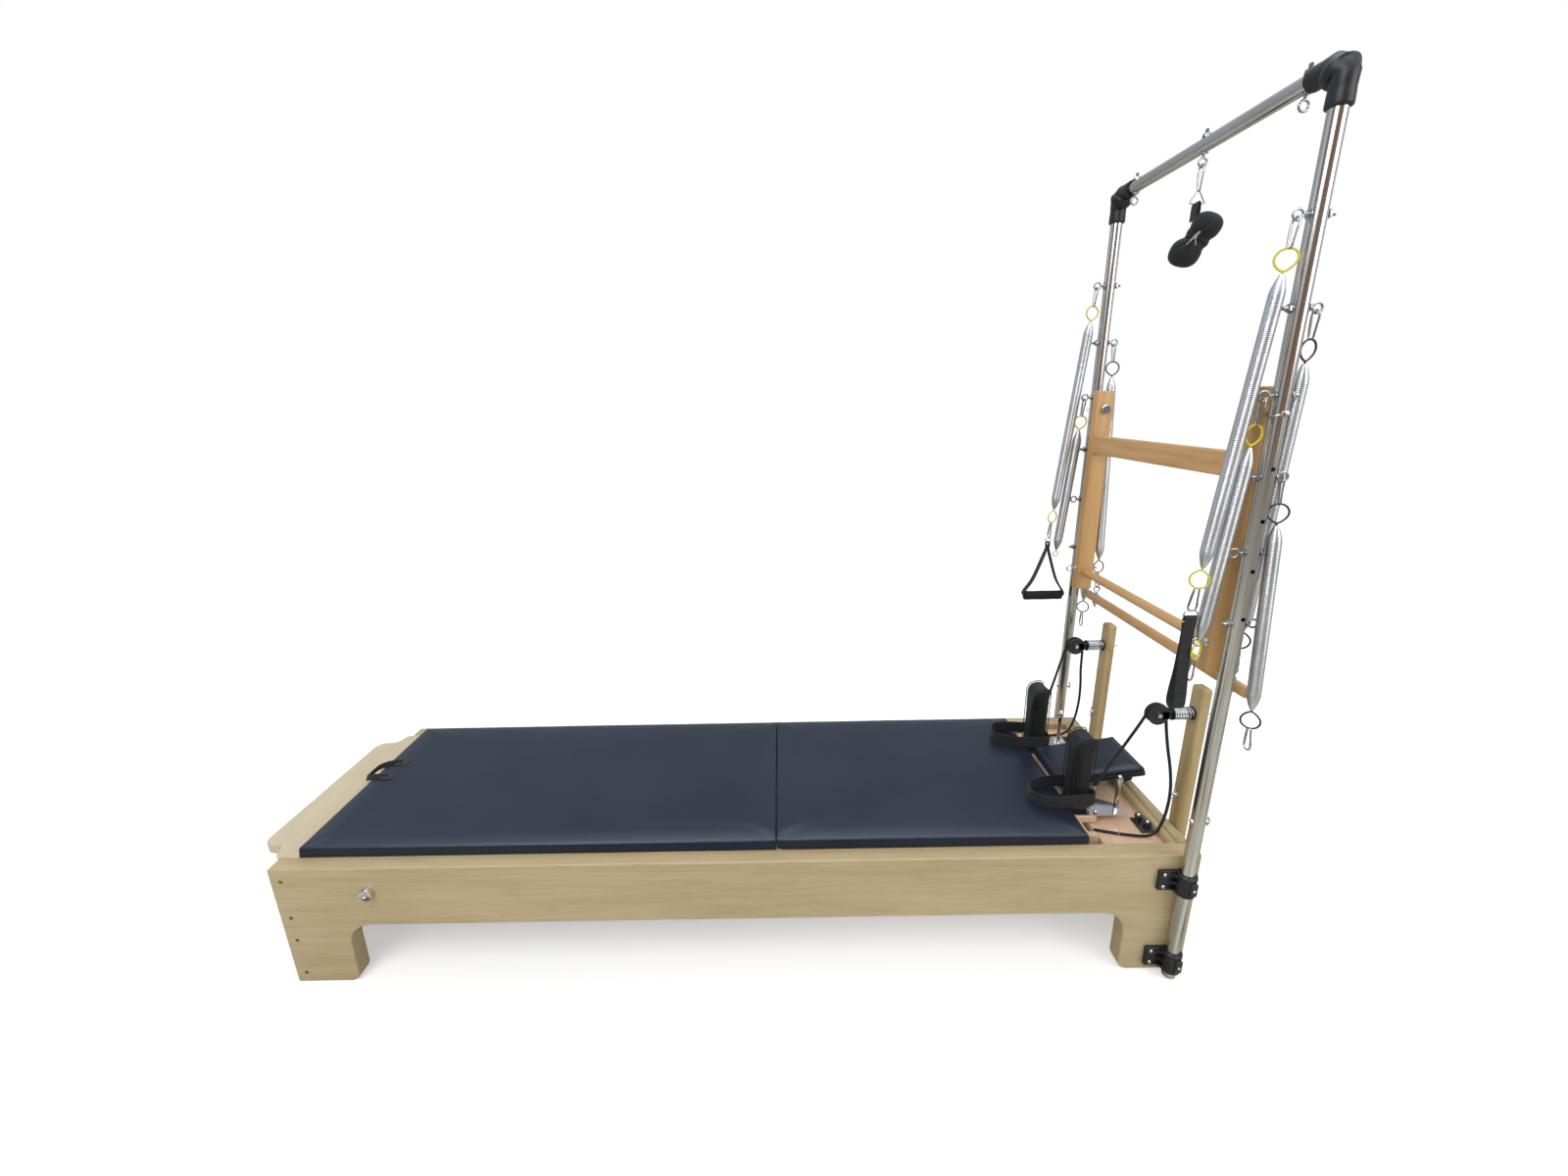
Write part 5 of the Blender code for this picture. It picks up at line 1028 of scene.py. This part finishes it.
def braid(angle, run):
    """How far a braided cover's strands stand out, round and along the rope."""
    return 0.955 + 0.045 * max(cos(4 * angle + run * 520), cos(4 * angle - run * 520))


@both_sides
def build_ropes(name, side):
    route = spread(rope_points(side)[::-1], 0.0016)
    tube(route, ROPE_DIAMETER * 500, 20, shape=braid)
    rope = make("rope_line_" + name, "rope", None, "rope_" + name, angle=80)
    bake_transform(rope)
    for i in range(3):
        torus((1.04 + 0.0024 * i, side * (0.249 + 0.0006 * i), DECK_TOP + 0.0046), (1, side * 0.3, 0), 4.8, 0.7, 20, 6)
    tube([(1.042, side * 0.2485, DECK_TOP + 0.0092), (1.036, side * 0.24, DECK_TOP + 0.015),
          (1.034, side * 0.236, DECK_TOP + 0.012)], 0.6, 6)
    make("rope_tie_" + name, "chrome")


# ---------------- pads

def grid_form(low, high, edge, cell):
    """Draw a closed box of an even grid with rounded edges, its lower edge left square."""
    foot = 0.002
    bend = [edge * tan(radians(9 * i)) for i in range(6)]
    lines = []
    for axis, (l, h) in enumerate(zip(low, high)):
        marks = [l + b for b in bend] if axis < 2 else [l, l + foot]
        first, last = marks[-1], h - edge
        count = max(1, round((last - first) / cell))
        marks += [first + (last - first) * i / count for i in range(1, count)]
        lines.append(marks + [h - b for b in bend[::-1]])
    found = {}

    def vert(key):
        if key not in found:
            p = Vector([line[k] for line, k in zip(lines, key)])
            lows = (low[0] + edge, low[1] + edge, low[2])
            core = Vector([min(max(c, l), h - edge) for c, l, h in zip(p, lows, high)])
            off = p - core
            if off.length > edge:
                off = off.normalized() * edge
            found[key] = bm.verts.new(core + off)
        return found[key]

    for a, b, c in ((0, 1, 2), (1, 2, 0), (2, 0, 1)):
        for end in (0, len(lines[c]) - 1):
            for i in range(len(lines[a]) - 1):
                for j in range(len(lines[b]) - 1):
                    quad = []
                    for di, dj in ((0, 0), (1, 0), (1, 1), (0, 1)):
                        spot = {a: i + di, b: j + dj, c: end}
                        quad.append(vert((spot[0], spot[1], spot[2])))
                    bm.faces.new(quad)
    bmesh.ops.recalc_face_normals(bm, faces=bm.faces)


def soften(cap, held, low, high, seed, voxel=0.0, pressure=4.0, butt=0):
    """Swell the closed form in hand as padding under a cover. Points below held stay, and none leaves the box."""
    global bm
    obj = link("soft_work", to_mesh("soft_work", bm))
    if voxel:
        remesh = obj.modifiers.new("even", 'REMESH')
        remesh.mode, remesh.voxel_size = 'VOXEL', voxel
        obj.data = baked(obj)
        for vert in obj.data.vertices:
            if vert.co.z < held:
                vert.co.z = low[2]
    even = obj.data
    rest = [v.co.copy() for v in even.vertices]
    outward = [v.normal.copy() for v in even.vertices]
    moved = rest
    group = obj.vertex_groups.new(name="held")
    group.add([i for i, co in enumerate(rest) if co.z < held], 1.0, 'REPLACE')
    settings = obj.modifiers.new("cloth", 'CLOTH').settings
    for key, value in {"quality": 4, "mass": 0.4, "tension_stiffness": 12, "compression_stiffness": 12,
                       "bending_stiffness": 0.6, "use_pressure": True, "uniform_pressure_force": pressure,
                       "vertex_group_mass": "held"}.items():
        setattr(settings, key, value)
    settings.effector_weights.gravity = 0.0
    for number in range(1, 21):
        bpy.context.scene.frame_set(number)
    moved = [v.co.copy() for v in evaluated(obj).to_mesh().vertices]
    obj.modifiers.clear()
    bpy.context.scene.frame_set(1)
    shift = Vector((seed, seed * 0.7, seed * 1.3))
    for vert, start, goal, out_way in zip(even.vertices, rest, moved, outward):
        step = goal - start
        if step.length > cap:
            step = step * (cap / step.length)
        dent = noise.noise(start * 9.0 + shift) * 0.0006 + noise.noise(start * 38.0 + shift) * 0.00022
        goal = start + (step + out_way * dent)
        if butt and butt * (start.x - (high if butt > 0 else low)[0]) > -0.002:
            goal.x = start.x
        vert.co = Vector([min(max(c, l), h) for c, l, h in zip(goal, low, high)])
    even.update()
    obj.modifiers.new("finer", 'SUBSURF').levels = 1
    finer = baked(obj)
    bm = bmesh.new()
    bm.from_mesh(finer)
    bpy.data.objects.remove(obj)
    bpy.data.meshes.remove(even)
    bpy.data.meshes.remove(finer)


def crown(reach, rise=0.0065, roll=0.045):
    """How far a pad's top stands over its rim, at a reach in from the nearest free edge."""
    return rise * (1 - (1 - min(max(reach, 0.0) / roll, 1.0)) ** 2)


def crown_pad(low, high, butt, edge):
    """Crown a pad's top in from its free edges. Its butted end stays full, square and tight."""
    for vert in bm.verts:
        ends = {-1: vert.co.x - low.x, 1: high.x - vert.co.x}
        near = ends[butt]
        side = min(vert.co.y - low.y, high.y - vert.co.y)
        reach = min(ends[-butt], side, near * 4.0)
        vert.co.z += crown(reach) * (vert.co.z - low.z) / (high.z - low.z)
        out_x, out_y = edge - near, edge - side
        if out_x > 0 and out_y > 0:
            grow = hypot(out_x, out_y) / max(out_x, out_y) - 1
            vert.co.x += butt * out_x * grow
            vert.co.y += copysign(out_y * grow, vert.co.y)
            near -= out_x * grow
        if near < edge:
            vert.co.x += butt * near * 0.75
        elif near < 4 * edge:
            vert.co.x += butt * (near - edge * (0.25 + 1.25 * (near / edge - 1)))


def upholstered(low, high, edge, inset, cell, cap, seed, butt=0):
    """A padded board: tight round its foot, rounded and slightly swollen above."""
    low, high = Vector(low), Vector(high)
    grid_form(low + Vector((inset, inset, 0)), high - Vector((inset, inset, inset + 0.0008)), edge, cell)
    if butt:
        crown_pad(low, high, butt, edge)
        high.z += crown(1.0)
    soften(cap, low.z + 0.0025, low, high, seed, butt=butt)


def build_pads():
    """The carriage's pad and the conversion mat with its pull loop."""
    rim, x = PAD_TOP + 0.001, MAT_FOOT_X
    for name, body, solid, seed, start, end, foot, butt in (
            ("carriage_cover", "carriage", "carriage_pad", 3.1, SEAM_X + 0.0001, PAD_HEAD_X, PLATFORM_TOP, -1),
            ("mat_cover", "mat", "conversion_mat", 7.7, x, SEAM_X - 0.0001, RAIL_TOP, 1)):
        upholstered((start, -PAD_HALF_WIDTH, foot + GAP), (end, PAD_HALF_WIDTH, rim), 0.0095, 0.0004, 0.011, 0.0024,
                    seed, butt)
        pad = make(name, "vinyl", body, solid, angle=60)
    route = steps_from((x, 0, rim), 55, -4, 0.5, 30, -3, 1.2, 10, 0, 2, -6, 3, 1, -18, 9, -4, -26, 20, -10,
                       -28, 34, -12.5, -24, 50, -9, -14, 60, -2, -2, 66, 1.5, 12, 69, 2, 32, 72, 1.2, 55, 73, 0.5)
    band(spread([p + Z * crown(p.x - x) for p in route], 0.004), (0.3, 0.25, 1), 0.02, 0.0024)
    for y in (-18, 58):
        block((x, 0, rim + crown(1.0)), (38, 78, y, y + 30, -2, 1.8), 0.8, 2)
    make("mat_pull", "webbing", "mat")


def build_headrest():
    long, half, thick = HEADREST_SIZE
    upholstered((0.0, -half, 0.0), HEADREST_SIZE, 0.01, 0.0012, 0.0055, 0.0035, 1.9)
    for side in (-1, 1):
        tube([(0.004 + (long - 0.008) * i / 30, side * (half - 0.0014), thick * 0.42 + 0.0004 * sin(i * 0.9))
              for i in range(31)], 1.1, 8)
    tilt = Matrix.Translation((PAD_HEAD_X + 0.006, 0, HEADREST_HINGE_Z)) @ Matrix.Rotation(-HEADREST_TILT, 4, 'Y')
    bmesh.ops.transform(bm, matrix=tilt, verts=bm.verts)
    rest = make("headrest_cover", "vinyl", "headrest", "headrest", angle=60)
    block((0, 0, 0), (196, 222, -88, -64, -12.5, -1), 3)
    block((0, 0, 0), (200, 214, -83, -69, -19, -11.5), 2, 2)
    bmesh.ops.transform(bm, matrix=tilt, verts=bm.verts)
    make("headrest_lever", "black", "headrest")


@both_sides
def build_shoulder_rests(name, side):
    low_z, inner, outer = RAIL_TOP + 0.0073, SHOULDER_INNER_Y, SHOULDER_OUTER_Y

    def outline(shrink, foot, bend=0.03, nose=0.012):
        top = SHOULDER_TOP - shrink
        low_x, high_x = SHOULDER_X + shrink, SHOULDER_X + SHOULDER_DEPTH - shrink
        return [(high_x, foot), *arc((high_x - nose, top - nose), nose, 0, 90, 6),
                *arc((low_x + bend, top - bend), bend, 90, 180, 12), (low_x, foot)]

    *upper, corner = outline(0.0025, low_z)
    prism([corner, *upper], "Y", -outer + 0.0025, -inner - 0.0025, 7, 4, 35)
    soften(0.0038, low_z + 0.003, (SHOULDER_X, -outer, low_z), (SHOULDER_X + SHOULDER_DEPTH, -inner, SHOULDER_TOP), 5.0,
           voxel=0.004)
    for y in (-outer + 0.0058, -inner - 0.0058):
        tube(standing((0, y, 0), outline(0.0016, low_z + 0.003)), 1.5, 8)
    if side > 0:
        mirror()
    rest = make("shoulder_cover_" + name, "rest_vinyl", "carriage", "shoulder_rest_" + name, angle=60)


@both_sides
def build_strap_loops(name, side):
    """A loop of webbing that stands on edge round the shoulder rest, sewn where it meets the rope."""
    height, front = 0.038, SHOULDER_X + 0.005
    z = PAD_TOP + 0.0045 + height / 2
    inner, outer, back = SHOULDER_INNER_Y - 0.008, SHOULDER_OUTER_Y + 0.011, SHOULDER_X + SHOULDER_DEPTH + 0.006
    route = [(back, -0.15), (back, -inner - 0.013), (back - 0.004, -inner - 0.003), (back - 0.02, -inner),
             (front, -inner), (0.9, -inner - 0.004), (0.858, -inner - 0.016), (0.834, -0.142), (0.832, -0.172),
             (0.852, -0.2), (0.895, -outer - 0.008), (front, -outer - 0.002), (back - 0.02, -outer),
             (back - 0.004, -outer + 0.004), (back, -0.182)]
    band(loop([Vector((x, -y * side, z)) for x, y in route], 0.004), Z, height, 0.003, closed=True)
    for dy in (-0.016, 0.016):
        block((back, side * (0.166 + dy * 0.2) + dy, z), (-0.4, 2.1, -3.5, 3.5, -16, 16), 0.6, 1)
    make("strap_loop_web_" + name, "webbing", "carriage", "strap_loop_" + name)
    before, end = rope_points(side)[-2:]
    ahead = (end - before).normalized()
    torus(end + ahead * 0.0085, Y, 7.2, 1.6, 26, 8)
    torus(end + ahead * 0.02, (1, 0, 0.2), 7.0, 1.6, 26, 8)
    make("strap_loop_rings_" + name, "chrome", "carriage")
    for share in (0.0, 0.35, 0.7):
        torus(end - ahead * (0.006 + 0.02 * share), ahead, 4.8, 1.1, 20, 6)
    make("rope_whipping_" + name, "rope", "carriage")


# ---------------- carriage springs and small hardware

def build_carriage_springs():
    start, end, z = SEAM_X + 0.055, 0.8974, 0.3054
    lanes = [(i - 1.5) * 0.09 for i in range(4)]
    for y in lanes:
        at = Matrix(((0, 0, -1, start), (1, 0, 0, y), (0, 1, 0, z), (0, 0, 0, 1)))
        spring_coil(at, 0.004, end - start - 0.008, 0.0119, 0.004, 0.02, 16)
    make("carriage_spring_coils", "coil", "carriage", "carriage_springs", angle=60)
    tube([(end - 0.0103, -0.165, z), (end - 0.0103, 0.165, z)], 5.0, 20)
    for y in lanes:
        for x in (end - 0.006, start + 0.0045):
            torus((x, y, z), Y, 7.2, 1.5, 24, 8)
    make("carriage_spring_bar", "chrome", "carriage")


def build_rail_hardware():
    for side in (-1, 1):
        for x, levels in ((-1.171, (0.329, 0.214, 0.141, 0.032)), (1.188, (0.344, 0.31, 0.129, 0.071))):
            for level in levels:
                lathe((0, -4, 5.2, -4, 5.2, 0.3, 4.6, 0.8, 0, 1), (x, side * FRAME_SIDE, level), Y * side, 24)
    make("rail_plugs", "plug")
    for side in (-1, 1):
        x, z = FOOTBAR_PIVOT
        lathe((0, 0, 16.8, 0, 16.8, 10, 15.8, 13.8, 13.5, 15, 5, 15, 4.2, 13.5, 0, 13), (x, side * FRAME_SIDE, z),
              Y * side, 48)
        for x, z in ((-1.143, 0.253), (-0.953, 0.248)):
            lathe((0, -1, 3.6, -1, 3.4, 0.8, 1.5, 1.4, 0, 1.4), (x, side * FRAME_SIDE, z), Y * side, 20)
    make("rail_knobs", "chrome")


def dress_frame():
    """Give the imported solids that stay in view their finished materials."""
    plans = {"maple_x": ("rail_near", "rail_far"), "maple_y": ("foot_end_board", "head_end_board"),
             "plate": ("foot_plate",), "board": ("head_deck",), "ply": ("carriage_frame",),
             "chrome": ("footbar", "headrest_prop", "strap_post_near", "strap_post_far"),
             "rubber": ("wheel_foot_near", "wheel_foot_far", "wheel_head_near", "wheel_head_far"),
             "honey_y": ("push_crossbar",)}
    for look, names in plans.items():
        for name in names:
            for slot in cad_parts[name].material_slots:
                slot.material = mats[look]


make_camera()
make_floor()
make_room()
mats = build_materials()
for build in (build_ropes, dress_frame, build_uprights, build_top_bar, build_elbows, build_clamps, build_springs,
              build_push_arms, build_bars, build_arm_strap, build_hand_loop, build_cuff, build_risers, build_pulleys,
              build_cleats, build_pads, build_headrest, build_shoulder_rests, build_strap_loops,
              build_carriage_springs, build_rail_hardware):
    build()
